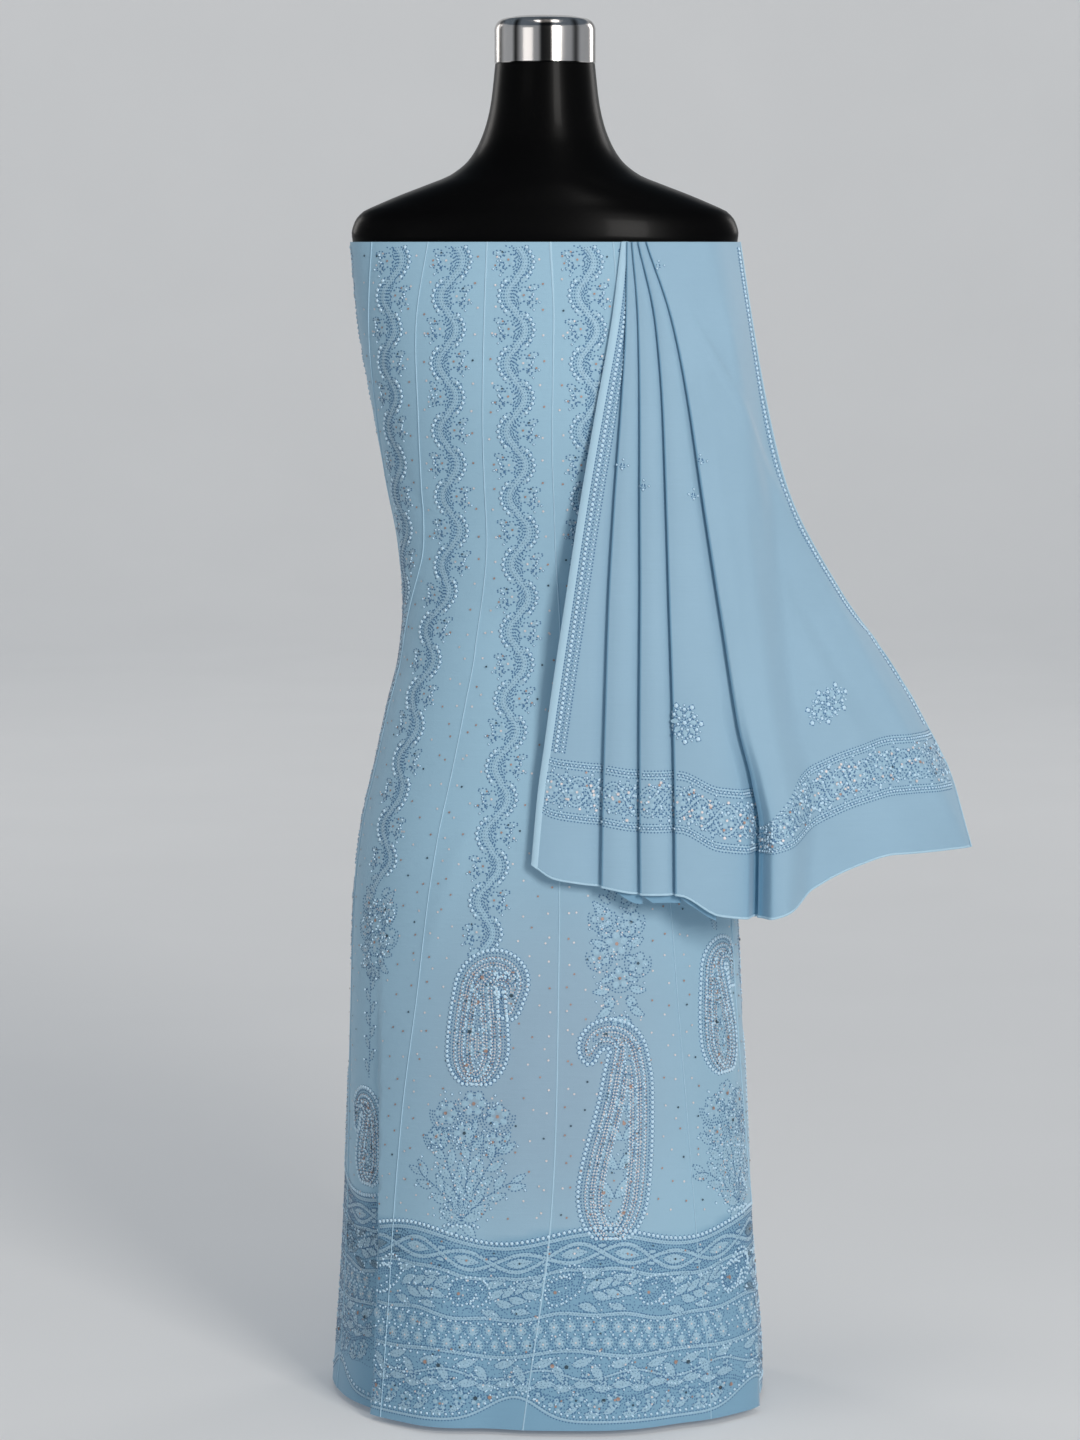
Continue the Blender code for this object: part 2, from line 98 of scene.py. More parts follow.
# Seam angles in degrees, from straight ahead towards +X.
SEAM_COLUMNS = ("height", "s1", "s2", "s3", "s4", "s5", "s6", "s7", "s8", "s9", "s10")
SEAMS = (
    (0.006, -114, -86, -47, -4, 43, 80, 116, 148, 180, 212),
    (0.160, -113, -85, -46, 0, 42, 77, 114, 147, 180, 213),
    (0.300, -112, -84, -43, 2, 41, 75, 112, 146, 180, 214),
    (0.450, -110, -82, -37, 3, 39, 73, 110, 145, 180, 215),
    (0.600, -106, -80, -33, 4, 37, 71, 107, 144, 180, 216),
    (0.770, -99, -76, -28, 6, 34, 66, 100, 140, 180, 220),
    (0.860, -90, -55, -23, 4, 30, 56, 91, 137, 180, 224),
    (0.980, -78, -46, -20, 2, 25, 47, 80, 131, 180, 230),
    (1.080, -68, -41, -17, 2, 21, 41, 69, 126, 180, 236),
    (1.159, -60, -34, -15, 1, 18, 34, 62, 122, 180, 240),
)

# Lengthwise folds of the skirt: angle, width, height at the hem and top.
SKIRT_FOLDS = (
    (-28, 9, 0.0040, 0.42),
    (-12, 7, -0.0050, 0.36),
    (14, 10, 0.0035, 0.50),
    (33, 8, -0.0035, 0.44),
    (64, 9, 0.0050, 0.50),
    (-96, 8, 0.0060, 0.46),
    (104, 9, -0.0070, 0.52),
    (124, 9, 0.0080, 0.58),
    (146, 9, -0.0080, 0.60),
    (168, 10, 0.0090, 0.64),
    (191, 9, -0.0080, 0.62),
    (213, 10, 0.0085, 0.58),
    (236, 9, -0.0070, 0.55),
)

# Sharp tucks of the skirt: angle at the hem and at the top, step, run, top.
TUCKS = (
    (-52.0, -55.0, 0.0150, -46.0, 0.52),
    (66.0, 84.0, 0.0100, 50.0, 0.36),
)
TUCK_EDGE = 1.6

# Distance from the axis at which the creases' angles become lengths
CREASE_RADIUS = 0.16

# Soft creases, listed one by one: angle, height, half length, half width, lean in
# degrees from upright, and how far the cloth stands out (or sinks).
CREASES = (
    (6, 0.775, 0.050, 0.006, 78, -0.0012),
    (-2, 0.742, 0.040, 0.006, 64, 0.0010),
    (-22, 0.760, 0.055, 0.007, 70, -0.0010),
    (-40, 0.810, 0.045, 0.006, -60, 0.0010),
    (24, 0.720, 0.060, 0.008, -66, 0.0012),
    (-10, 0.640, 0.080, 0.009, 30, 0.0010),
    (10, 0.560, 0.090, 0.010, -24, -0.0011),
    (-30, 0.520, 0.100, 0.011, 14, 0.0014),
    (30, 0.420, 0.110, 0.012, -10, -0.0013),
    (-6, 0.300, 0.120, 0.012, 8, 0.0014),
    (-60, 0.940, 0.060, 0.008, -30, -0.0012),
    (55, 0.930, 0.060, 0.008, 30, -0.0012),
    (120, 0.800, 0.070, 0.008, 72, -0.0014),
    (150, 0.770, 0.060, 0.007, -70, 0.0012),
    (180, 0.790, 0.080, 0.008, 84, -0.0013),
    (205, 0.760, 0.060, 0.007, 66, 0.0012),
    (235, 0.820, 0.060, 0.008, -70, -0.0012),
    (140, 0.560, 0.090, 0.011, 16, 0.0014),
    (200, 0.500, 0.100, 0.012, -12, -0.0014),
    (165, 0.950, 0.070, 0.010, 24, 0.0012),
    (198, 0.990, 0.070, 0.010, -28, -0.0012),
)

# Folded edges of the dupatta at each height, its spread and its front depth.
DUPATTA_COLUMNS = ("height", "left", "fold_1", "fold_2", "fold_3", "fold_4", "right", "spread", "front")
DUPATTA_SIZES = (
    (0.520, -0.0135, 0.0560, 0.0926, 0.1254, 0.2065, 0.4220, 0.4380, 0.1520),
    (0.600, -0.0070, 0.0570, 0.0920, 0.1248, 0.2075, 0.4020, 0.4180, 0.1420),
    (0.650, -0.0009, 0.0582, 0.0919, 0.1239, 0.1985, 0.3780, 0.3940, 0.1370),
    (0.700, 0.0052, 0.0595, 0.0918, 0.1227, 0.1844, 0.3520, 0.3680, 0.1330),
    (0.800, 0.0192, 0.0622, 0.0919, 0.1186, 0.1663, 0.2900, 0.3050, 0.1290),
    (0.900, 0.0335, 0.0672, 0.0909, 0.1146, 0.1487, 0.2425, 0.2560, 0.1270),
    (1.000, 0.0498, 0.0737, 0.0902, 0.1104, 0.1327, 0.2172, 0.2270, 0.1245),
    (1.080, 0.0636, 0.0779, 0.0886, 0.1035, 0.1171, 0.2025, 0.2080, 0.1137),
    (1.159, 0.0735, 0.0793, 0.0831, 0.0880, 0.0947, 0.1905, 0.1920, 0.0888),
)
DUPATTA_FOLDS = 4
WING_SECTION = 2 * DUPATTA_FOLDS
DUPATTA_LOWEST_ROW = 0.520
DUPATTA_WALL = 0.0008
FRAME_WALL = 0.001
DUPATTA_GAP = 0.0005
LAYER_PITCH_TOP = 0.0019
LAYER_PITCH_HEM = 0.0034
UNDERLAP_TOP = 0.052
UNDERLAP_HEM = 0.036
LAST_UNDERLAP_CUT = 0.55
VALLEY_LAYERS = 5.2
VALLEY_START = 0.64
VALLEY_GROWTH = 0.30
VALLEY_MARGIN = 0.003
VALLEY_WIDTH = 0.016
VALLEY_LEAST_WIDTH = 0.008
WING_RISE = 0.007
WING_SETTLE = 0.040

# Height of the dupatta's lower edge at places across it.
DUPATTA_HEM = (
    (-0.0135, 0.560),
    (0.008, 0.546),
    (0.029, 0.542),
    (0.056, 0.538),
    (0.093, 0.532),
    (0.126, 0.532),
    (0.165, 0.512),
    (0.205, 0.508),
    (0.233, 0.514),
    (0.260, 0.532),
    (0.306, 0.553),
    (0.344, 0.562),
    (0.422, 0.561),
)

# Line of the soft ridge that runs down the wing, as height and place across, its
# size, and the heights over which it grows in from below and dies out at the top.
RIDGE = ((0.740, 0.310), (0.905, 0.218), (1.000, 0.158), (1.100, 0.122), (1.159, 0.108))
RIDGE_RAISED = 0.004
RIDGE_WIDTH = 0.022
RIDGE_GROWTH = 0.12
RIDGE_END = 0.05

# Camera: level with the kurta's top edge, tilted down a little
CAMERA_DISTANCE = 4.2
CAMERA_HEIGHT = 1.156
CAMERA_ASIDE = -0.005
FOCAL_PIXELS = 4230.0
IMAGE_HEIGHT = 1440.0
HORIZON_ROW = 245.0
SENSOR = 36.0


class KurtaSizes(bpy.types.PropertyGroup):
    """Sizes of the needlework that a user would change."""

    stitch_length: FloatProperty(
        name="Stitch length",
        description="Length of one stitch of a dotted line",
        default=0.0023,
        min=0.001,
        unit="LENGTH",
    )
    stitch_pitch: FloatProperty(
        name="Stitch pitch",
        description="Distance from one stitch of a dotted line to the next",
        default=0.0032,
        min=0.0015,
        unit="LENGTH",
    )
    stitch_width: FloatProperty(
        name="Stitch width",
        description="Width of one stitch",
        default=0.0018,
        min=0.0003,
        unit="LENGTH",
    )
    knot_size: FloatProperty(
        name="Knot size",
        description="Diameter of the raised knots along the vines and the band",
        default=0.0037,
        min=0.001,
        unit="LENGTH",
    )
    vine_period: FloatProperty(
        name="Vine period",
        description="Length of one full wave of a vine",
        default=0.065,
        min=0.02,
        unit="LENGTH",
    )
    vine_swing: FloatProperty(
        name="Vine swing",
        description="How far a vine's stem swings to either side",
        default=0.0085,
        min=0.002,
        unit="LENGTH",
    )
    sequin_spacing: FloatProperty(
        name="Sequin spacing",
        description="Distance between the small sequins scattered on the skirt",
        default=0.027,
        min=0.01,
        unit="LENGTH",
    )
    cloth_cell: FloatProperty(
        name="Cloth cell",
        description="Height of one row of the kurta's mesh",
        default=0.0080,
        min=0.003,
        unit="LENGTH",
    )
    seed: IntProperty(
        name="Seed",
        description="Start of the random draws for small unevenness",
        default=11,
        min=0,
    )


class SetColours(bpy.types.PropertyGroup):
    """Colours of the cloth, threads and form."""

    kurta: FloatVectorProperty(
        name="Kurta", description="Ground of the kurta",
        subtype="COLOR", default=(0.275, 0.425, 0.525),
    )
    # Painted shade: a deeper ground behind the hem band, for the shade of its dense stitching
    kurta_band_shade_colour: FloatVectorProperty(
        name="Kurta border", description="Ground behind the hem band",
        subtype="COLOR", default=(0.176, 0.312, 0.420),
    )
    # Painted shade: greyer, darker cloth low on the front
    kurta_low_painted_shade: FloatVectorProperty(
        name="Kurta, greyer", description="Low on the front",
        subtype="COLOR", default=(0.245, 0.330, 0.405),
    )
    dupatta: FloatVectorProperty(
        name="Dupatta", description="Ground of the dupatta",
        subtype="COLOR", default=(0.250, 0.378, 0.476),
    )
    # Painted shade deep in the dupatta's folds
    dupatta_shade_colour: FloatVectorProperty(
        name="Dupatta folds", description="Dupatta deep in a fold",
        subtype="COLOR", default=(0.085, 0.230, 0.360),
    )
    edging: FloatVectorProperty(
        name="Dupatta edging", description="Pale edging of the dupatta",
        subtype="COLOR", default=(0.36, 0.52, 0.62),
    )
    # Painted shade: the stitches are real, but their dark colour stands in for the shade between and round
    # them
    thread: FloatVectorProperty(
        name="Thread", description="Dotted stitches",
        subtype="COLOR", default=(0.042, 0.140, 0.275),
    )
    knot: FloatVectorProperty(
        name="Knots", description="Raised knots",
        subtype="COLOR", default=(0.47, 0.66, 0.79),
    )
    pad: FloatVectorProperty(
        name="Leaf pads", description="Filled leaves and petals",
        subtype="COLOR", default=(0.282, 0.448, 0.565),
    )
    silver: FloatVectorProperty(
        name="Silver sequins", description="Pale sequins",
        subtype="COLOR", default=(0.66, 0.62, 0.62),
    )
    rose: FloatVectorProperty(
        name="Rose sequins", description="Rose gold sequins",
        subtype="COLOR", default=(0.38, 0.26, 0.22),
    )


def sizes():
    """Return the sizes set in the scene."""
    return bpy.context.scene.kurta_set_sizes


def colours():
    """Return the colours set in the scene."""
    return bpy.context.scene.kurta_set_colours


def smooth_column(places, values, samples):
    """Read a column of sizes on a curve without overshoot at many places."""
    slopes = np.diff(values) / np.diff(places)
    tangents = np.zeros(len(values))
    tangents[0] = slopes[0]
    tangents[-1] = slopes[-1]
    for i in range(1, len(values) - 1):
        if slopes[i - 1] * slopes[i] > 0:
            tangents[i] = 2 * slopes[i - 1] * slopes[i] / (slopes[i - 1] + slopes[i])
    samples = np.clip(samples, places[0], places[-1])
    i = np.clip(np.searchsorted(places, samples, side="right") - 1, 0, len(values) - 2)
    step = places[i + 1] - places[i]
    t = (samples - places[i]) / step
    start = (2 * t**3 - 3 * t**2 + 1) * values[i] + (t**3 - 2 * t**2 + t) * step * tangents[i]
    end = (3 * t**2 - 2 * t**3) * values[i + 1] + (t**3 - t**2) * step * tangents[i + 1]
    return start + end


class SizeTable:
    """A short table of sizes that can be read at any place on smooth curves."""

    def __init__(self, names, rows):
        self.places = np.array([row[0] for row in rows], dtype=float)
        self.columns = {name: np.array([row[i] for row in rows], dtype=float) for i, name in enumerate(names)}

    def at(self, name, places):
        """Return one named column's values at some places."""
        return smooth_column(self.places, self.columns[name], np.asarray(places, dtype=float))


body_table = SizeTable(BODY_COLUMNS, BODY_SIZES)
seam_table = SizeTable(SEAM_COLUMNS, SEAMS)
dupatta_table = SizeTable(DUPATTA_COLUMNS, DUPATTA_SIZES)
hem_table = SizeTable(("across", "height"), DUPATTA_HEM)
ridge_table = SizeTable(("height", "across"), RIDGE)


def ease(t):
    """Return a smooth step from 0 to 1."""
    t = np.clip(t, 0.0, 1.0)
    return t * t * (3 - 2 * t)


def fall(height, top):
    """Return how far a skirt fold has grown, from 0 at its top to 1 at the hem."""
    return ease((top - height) / (top - KURTA_HEM))


def turn_between(angle, reference):
    """Return the difference of two angles in degrees, from -180 to 180."""
    return (angle - reference + 180) % 360 - 180


def skirt_relief(degrees, height):
    """Return how far the folds, tucks and creases move the cloth outwards."""
    relief = np.zeros(np.broadcast(degrees, height).shape)
    for centre, width, raised, top in SKIRT_FOLDS:
        away = turn_between(degrees, centre) / width
        relief = relief + raised * fall(height, top) * np.exp(-away * away)
    for hem_angle, top_angle, step, run, top in TUCKS:
        growth = fall(height, top)
        edge = top_angle + (hem_angle - top_angle) * growth
        past = turn_between(degrees, edge) * math.copysign(1, run)
        sunk = np.clip(past / TUCK_EDGE, 0, 1) * (1 - ease(past / abs(run)))
        relief = relief - step * growth * sunk
    for centre, level, half_length, half_width, lean, raised in CREASES:
        across = np.radians(turn_between(degrees, centre)) * CREASE_RADIUS
        up = height - level
        sine = math.sin(math.radians(lean))
        cosine = math.cos(math.radians(lean))
        along = (across * sine + up * cosine) / half_length
        aside = (across * cosine - up * sine) / half_width
        relief = relief + raised * np.exp(-along * along - aside * aside)
    return relief


def ring_points(degrees, height, outwards=0.0):
    """Return points of the kurta's surface, moved outwards."""
    angle = np.radians(degrees)
    sine = np.sin(angle)
    cosine = np.cos(angle)
    half = np.where(sine > 0, body_table.at("right", height), body_table.at("left", height))
    depth = np.where(cosine > 0, body_table.at("front", height), body_table.at("back", height))
    power = 2 / body_table.at("squareness", height)
    x = np.sign(sine) * half * np.abs(sine) ** power
    y = -np.sign(cosine) * depth * np.abs(cosine) ** power
    normal_x = x / half**2
    normal_y = y / depth**2
    length = np.hypot(normal_x, normal_y)
    moved = outwards + skirt_relief(degrees, height)
    return np.stack([x + normal_x / length * moved, y + normal_y / length * moved, height + 0 * x], axis=-1)


def seam_degrees(seam, height):
    """Return a seam's angle in degrees, counted on past a full turn."""
    count = len(SEAM_COLUMNS) - 1
    turns, index = divmod(seam, count)
    return seam_table.at(SEAM_COLUMNS[index + 1], height) + 360 * turns


# Half the distance over which a surface's directions are measured
FRAME_STEP = 0.0008


class GridSurface:
    """A cloth surface as rows of points, read by sizes laid flat on it.

    Each row has a place up the cloth. Across it, lengths are counted from the
    row's own zero.
    """

    def __init__(self, points, ups, zero_columns):
        self.points = points
        self.ups = ups
        steps = np.linalg.norm(np.diff(points, axis=1), axis=2)
        arcs = np.concatenate([np.zeros((len(points), 1)), np.cumsum(steps, axis=1)], axis=1)
        columns = np.arange(points.shape[1])
        zeros = np.array([np.interp(zero, columns, arc) for zero, arc in zip(zero_columns, arcs)])
        self.arcs = arcs - zeros[:, None]

    def width(self, up):
        """Return the lowest and highest place across at a place up."""
        low = np.interp(up, self.ups, self.arcs[:, 0])
        high = np.interp(up, self.ups, self.arcs[:, -1])
        return low, high

    def frames(self, across, up):
        """Return the points at some places, and the directions across, up and out."""
        step = FRAME_STEP
        along = self.at(across + step, up) - self.at(across - step, up)
        rise = self.at(across, up + step) - self.at(across, up - step)
        along /= np.linalg.norm(along, axis=1)[:, None]
        out = np.cross(along, rise)
        out /= np.linalg.norm(out, axis=1)[:, None]
        return self.at(across, up), along, np.cross(out, along), out

    def raised(self, across, up, distance):
        """Return the points at some places, moved outwards."""
        origin, _along, _rise, out = self.frames(across, up)
        return origin + out * distance

    def holds(self, across, up, margin):
        """Tell which places lie on the cloth, clear of its edges."""
        low, high = self.width(up)
        inside = (across > low + margin) & (across < high - margin)
        return inside & (up > self.ups[0] + margin) & (up < self.ups[-1] - margin)

    def at(self, across, up):
        """Return the points at some places across and up the cloth."""
        row = np.interp(up, self.ups, np.arange(len(self.ups)))
        low = np.clip(row.astype(int), 0, len(self.ups) - 2)
        share = (row - low)[:, None]
        return self.row_points(low, across) * (1 - share) + self.row_points(low + 1, across) * share

    def row_points(self, rows, across):
        """Return points on whole rows, each at its place across."""
        found = np.zeros((len(rows), 3))
        for row in np.unique(rows):
            chosen = rows == row
            for axis in range(3):
                line = self.points[row, :, axis]
                found[chosen, axis] = np.interp(across[chosen], self.arcs[row], line)
        return found


def add_object(name, data):
    """Make an object of a mesh, a camera or a light, and put it in the scene."""
    item = bpy.data.objects.new(name, data)
    bpy.context.scene.collection.objects.link(item)
    return item


def joined_mesh(name, points, faces, material):
    """Make a smooth object from an array of points and a list of faces."""
    data = bpy.data.meshes.new(name)
    data.from_pydata(points.tolist(), [], faces)
    data.materials.append(material)
    data.shade_smooth()
    data.update()
    return add_object(name, data)


def wall_faces(rows, columns):
    """Return the faces of a closed wall made of two grids of points."""
    half = rows * columns
    faces = []
    for i in range(rows - 1):
        for j in range(columns - 1):
            a = i * columns + j
            b = a + columns
            faces.append((a, a + 1, b + 1, b))
            faces.append((half + a, half + b, half + b + 1, half + a + 1))
    for i in range(rows - 1):
        a = i * columns
        b = a + columns
        faces.append((a, b, half + b, half + a))
        a += columns - 1
        b += columns - 1
        faces.append((a, half + a, half + b, b))
    last = (rows - 1) * columns
    for j in range(columns - 1):
        faces.append((j, half + j, half + j + 1, j + 1))
        faces.append((last + j, last + j + 1, half + last + j + 1, half + last + j))
    return faces


def add_wall(name, outer, inner, material):
    """Make a thin shell of cloth from its outer and inner grids."""
    rows, columns = outer.shape[:2]
    points = np.concatenate([outer.reshape(-1, 3), inner.reshape(-1, 3)])
    item = joined_mesh(name, points, wall_faces(rows, columns), material)
    item.data.set_sharp_from_angle(angle=CLOTH_SHARP)
    return item


def run_lengths(line):
    """Return how far each point of a flat line lies from its start."""
    return np.concatenate([[0.0], np.cumsum(np.hypot(*np.diff(line, axis=0).T))])


def line_at(line, lengths, places):
    """Return a flat line's places across and up, at some distances from its start."""
    return np.array([np.interp(places, lengths, column) for column in line.T])


def spaced(line, pitch, first=0.5):
    """Return evenly spaced places along a line, and the line's direction there.

    The first place lies at this share of the pitch from the line's start.
    """
    line = np.asarray(line, dtype=float)
    lengths = run_lengths(line)
    count = max(int(lengths[-1] / pitch), 1)
    places = (np.arange(count) + first) * lengths[-1] / count
    reach = pitch * 0.4
    x, y = line_at(line, lengths, places)
    dx, dy = line_at(line, lengths, places + reach) - line_at(line, lengths, places - reach)
    return x, y, np.arctan2(dy, dx)


def polar(reach, turn):
    """Return the place at a distance and a direction from a motif's middle."""
    return reach * math.cos(turn), reach * math.sin(turn)


def cells(start, end, pitch, whole=False):
    """Return the numbers of a row's cells between two places, or of its whole cells."""
    if whole:
        return range(math.ceil(start / pitch), math.floor(end / pitch))
    return range(math.floor(start / pitch), math.ceil(end / pitch))


def arc(x, y, radius, start, end, steps=10):
    """Return the points of an arc between two angles in degrees."""
    angles = np.radians(np.linspace(start, end, steps + 1))
    return np.column_stack([x + radius * np.cos(angles), y + radius * np.sin(angles)])


class Needlework:
    """Stitches, knots, leaf pads, sequins and ribbons of raised cloth, laid out flat.

    Places are across and up the cloth. Directions are in radians, turned from
    across towards up. A sequin's tone is 0 for silver, 1 for rose and 2 for dark.
    """

    KINDS = ("stitches", "knots", "pads", "sequins")

    def __init__(self):
        self.stitches = [np.zeros((0, 5))]
        self.knots = [np.zeros((0, 5))]
        self.pads = [np.zeros((0, 5))]
        self.sequins = [np.zeros((0, 5))]
        self.ribbons = []

    def rows(self, kind):
        """Return all rows of one kind: x, y, direction, length and width."""
        return np.concatenate(getattr(self, kind))

    def dotted(self, line, scale=1.0, first=0.5):
        """Sew a dotted line of stitches."""
        x, y, turn = spaced(line, sizes().stitch_pitch, first)
        length = np.full(len(x), sizes().stitch_length * scale)
        width = np.full(len(x), sizes().stitch_width * scale)
        self.stitches.append(np.column_stack([x, y, turn, length, width]))

    def knotted(self, line, pitch, scale):
        """Sew a row of knots along a line."""
        x, y, turn = spaced(line, pitch)
        self.add_knots(x, y, turn, np.full(len(x), sizes().knot_size * scale))

    def beaded(self, line, pitch, draws):
        """Sew a row of tiny sequins along a line."""
        x, y, _turn = spaced(line, pitch)
        tones = draws.choice(3, len(x), p=BEAD_TONES)
        size = np.full(len(x), BEAD_SIZE)
        self.sequins.append(np.column_stack([x, y, tones, size, size]))

    def reshaped(self, change):
        """Return the same needlework with its places changed by a function."""
        work = Needlework()
        for kind in self.KINDS:
            rows = self.rows(kind).copy()
            rows[:, :2] = change(rows[:, :2])
            getattr(work, kind).append(rows)
        work.ribbons = [(change(line), widths) for line, widths in self.ribbons]
        return work

    def knot(self, x, y, scale=1.0):
        """Sew one knot."""
        size = np.array([sizes().knot_size * scale])
        self.add_knots(np.array([x]), np.array([y]), np.zeros(1), size)

    def add_knots(self, x, y, turn, size):
        """Sew knots, each on a dark stitch a little wider than itself, a painted shadow round the knot."""
        self.knots.append(np.column_stack([x, y, turn, size, size]))
        self.stitches.append(np.column_stack([x, y, turn, size * KNOT_PAINTED_SHADOW, size * KNOT_PAINTED_SHADOW]))

    def pad(self, x, y, turn, length, width):
        """Sew one filled leaf or petal."""
        self.pads.append(np.array([[x, y, turn, length, width]]))

    def sequin(self, x, y, size, tone):
        """Sew on one sequin."""
        self.sequins.append(np.array([[x, y, tone, size, size]]))

    def ribbon(self, line, widths):
        """Lay a raised ribbon of cloth along a line, as wide as told at each point."""
        widths = np.broadcast_to(widths, len(line)).astype(float)
        self.ribbons.append((np.asarray(line, dtype=float), widths))

    def stem(self, line, width, rows=2):
        """Lay a ribbon with dotted lines along it, the outer two at its sides."""
        self.ribbon(line, width * 0.70)
        for row, side in enumerate(np.linspace(-0.5, 0.5, rows)):
            scale = 1.0 if row in (0, rows - 1) else 0.8
            self.dotted(beside(line, width * side), scale, 0.25 + 0.5 * (row % 2))

    def place(self, other, x, y, turn=0.0, flip=False):
        """Lay another piece of needlework at a place, turned or mirrored."""
        side = -1.0 if flip else 1.0
        for kind in self.KINDS:
            rows = other.rows(kind).copy()
            rows[:, :2] = moved(rows[:, :2], x, y, turn, side)
            if kind != "sequins":
                rows[:, 2] = (rows[:, 2] if side > 0 else math.pi - rows[:, 2]) + turn
            getattr(self, kind).append(rows)
        for line, widths in other.ribbons:
            self.ribbons.append((moved(line, x, y, turn, side), widths))


def moved(places, x, y, turn, side):
    """Return flat places mirrored, turned and moved."""
    across = places[:, 0] * side
    up = places[:, 1]
    cosine = math.cos(turn)
    sine = math.sin(turn)
    return np.column_stack([x + across * cosine - up * sine, y + across * sine + up * cosine])


def beside(line, distance):
    """Return a line that runs beside another one, on its left for a positive distance."""
    line = np.asarray(line, dtype=float)
    along = np.gradient(line, axis=0)
    along /= np.maximum(np.hypot(along[:, 0], along[:, 1]), 1e-9)[:, None]
    return line + np.column_stack([-along[:, 1], along[:, 0]]) * distance


# Leaves longer than this are filled with a ribbon of cloth, shorter ones with a pad
LONG_LEAF = 0.0145
# Distance from knot to knot along a rim or a vine
KNOT_PITCH = 0.0047
# Diameters of the small sequins among the motifs
SMALL_SEQUIN = 0.0022
TINY_SEQUIN = 0.0021


def leaf(length, width, bend=0.0):
    """Return a filled leaf from its foot along its own first axis, bent to one side."""
    work = Needlework()
    shares = np.linspace(0, 1, 8)
    spine = np.column_stack([length * shares, bend * length * shares**2])
    half = width / 2 * np.sin(np.pi * shares**0.85)
    for side in (-1, 1):
        work.dotted(beside(spine, (side * half)[:, None]))
    if length > LONG_LEAF:
        work.ribbon(spine, np.maximum(half * 2 - 0.0012, 0.0004))
        work.dotted(spine[1:-1], scale=0.85)
    else:
        work.pad(length * 0.5, bend * length * 0.28, bend * 0.9, length * 0.80, width * 0.72)
    return work


def flower(radius, petals=5, tone=1):
    """Return an open flower with filled petals round a sequin."""
    work = Needlework()
    for petal in range(petals):
        turn = 2 * math.pi * petal / petals + math.pi / 2
        x, y = polar(radius * 0.62, turn)
        degrees = math.degrees(turn)
        work.dotted(arc(x, y, radius * 0.38, degrees - 130, degrees + 130))
        work.pad(x, y, turn, radius * 0.60, radius * 0.50)
    work.sequin(0.0, 0.0, radius * 0.30, tone)
    return work


def sprig(length, leaves=3, spread=100):
    """Return a fan of leaves from one foot, along its own first axis."""
    work = Needlework()
    for i in range(leaves):
        share = i / (leaves - 1) - 0.5
        turn = math.radians(spread * share)
        reach = length * (1 - 0.25 * abs(share) * 2)
        work.place(leaf(reach, reach * 0.46), 0.0, 0.0, turn)
        work.knot(*polar(reach + 0.0018, turn), 0.62)
    return work


def branch(length, leaves, size, bend=0.0, share_width=0.42):
    """Return a dotted twig along its own first axis, with leaves on either side in turn."""
    work = Needlework()
    shares = np.linspace(0, 1, max(int(length / 0.003), 4))
    work.dotted(np.column_stack([length * shares, bend * length * shares**2]))
    for i in range(leaves):
        share = 0.06 + 0.86 * i / max(leaves - 1, 1)
        side = 1 if i % 2 == 0 else -1
        slope = math.atan(2 * bend * share)
        x = length * share
        y = bend * length * share**2
        work.place(leaf(size, size * share_width, -0.4 * side), x, y, slope + 0.85 * side)
        turn = slope + 0.75 * side
        work.knot(x + size * 1.10 * math.cos(turn), y + size * 1.04 * math.sin(turn), 0.74)
    work.place(leaf(size * 0.9, size * 0.34, 0.1), length, bend * length, math.atan(2 * bend))
    return work


# Dotted and knotted lines along each bend of a vine: first and last place on
# the bend, distance outside the stem, and whether it is knotted.
BEND_LINES = (
    (0.00, 1.00, 0.0088, True),
    (0.06, 0.94, 0.0060, False),
    (0.12, 0.88, -0.0062, False),
    (0.24, 0.76, -0.0088, False),
)


def vine(bottom, top, draws):
    """Return a waving vine: a stem, knots outside each bend, flowers and leaves inside."""
    work = Needlework()
    period = sizes().vine_period
    swing = sizes().vine_swing
    ups = np.arange(top, bottom, -period / 28)
    wave = swing * np.sin(2 * np.pi * (top - ups) / period)
    work.stem(np.column_stack([wave, ups]), 0.0074, 4)
    for bend in range(int((top - bottom) / (period / 2))):
        side = 1 if bend % 2 == 0 else -1
        start = top - bend * period / 2
        for first, last, aside, knots in BEND_LINES:
            phase = np.linspace(first, last, 14) * math.pi
            across = side * (swing * np.sin(phase) + aside)
            line = np.column_stack([across, start - phase / (2 * math.pi) * period])
            if knots:
                work.knotted(line, KNOT_PITCH, 1.05)
            else:
                work.dotted(line)
        middle = start - period / 4 + draws.normal(0, 0.0008)
        lean = draws.normal(0, 0.18)
        outwards = math.pi if side > 0 else 0.0
        work.place(flower(0.0084, 5, int(draws.integers(0, 2))), -side * 0.0072, middle + 0.001, lean)
        open_side = 0 if side > 0 else 180
        for reach in (0.0100, 0.0124):
            work.dotted(arc(-side * 0.0066, middle + 0.001, reach, open_side - 75, open_side + 75), 0.85)
        work.place(sprig(0.0098, 3, 100), -side * 0.0108, middle - 0.0060, outwards + lean)
        turn = outwards - side * 0.45 + lean
        work.place(leaf(0.0120, 0.0058, 0.2 * side), -side * 0.0110, middle + 0.0064, turn)
        work.place(leaf(0.0140, 0.0064, 0.3 * side), -side * 0.0040, middle + 0.0125, outwards - side * 1.0)
        work.place(leaf(0.0140, 0.0064, -0.3 * side), -side * 0.0030, middle - 0.0145, outwards + side * 0.8)
        for i in range(3):
            up = middle - 0.0010 + 0.0040 * i + draws.normal(0, 0.0006)
            work.knot(-side * (0.0150 + 0.0014 * i), up, 0.68)
        up = middle - 0.0035 + draws.normal(0, 0.001)
        work.sequin(-side * 0.0200, up, SMALL_SEQUIN, int(draws.integers(0, 2)))
        work.sequin(-side * 0.0130, middle + 0.0085, TINY_SEQUIN, int(draws.integers(0, 3)))
    return work


# Share of a paisley's length where it is widest, and the least half width of
# a row of stitches inside it
BELLY = 0.20
LEAST_HALF = 0.0008


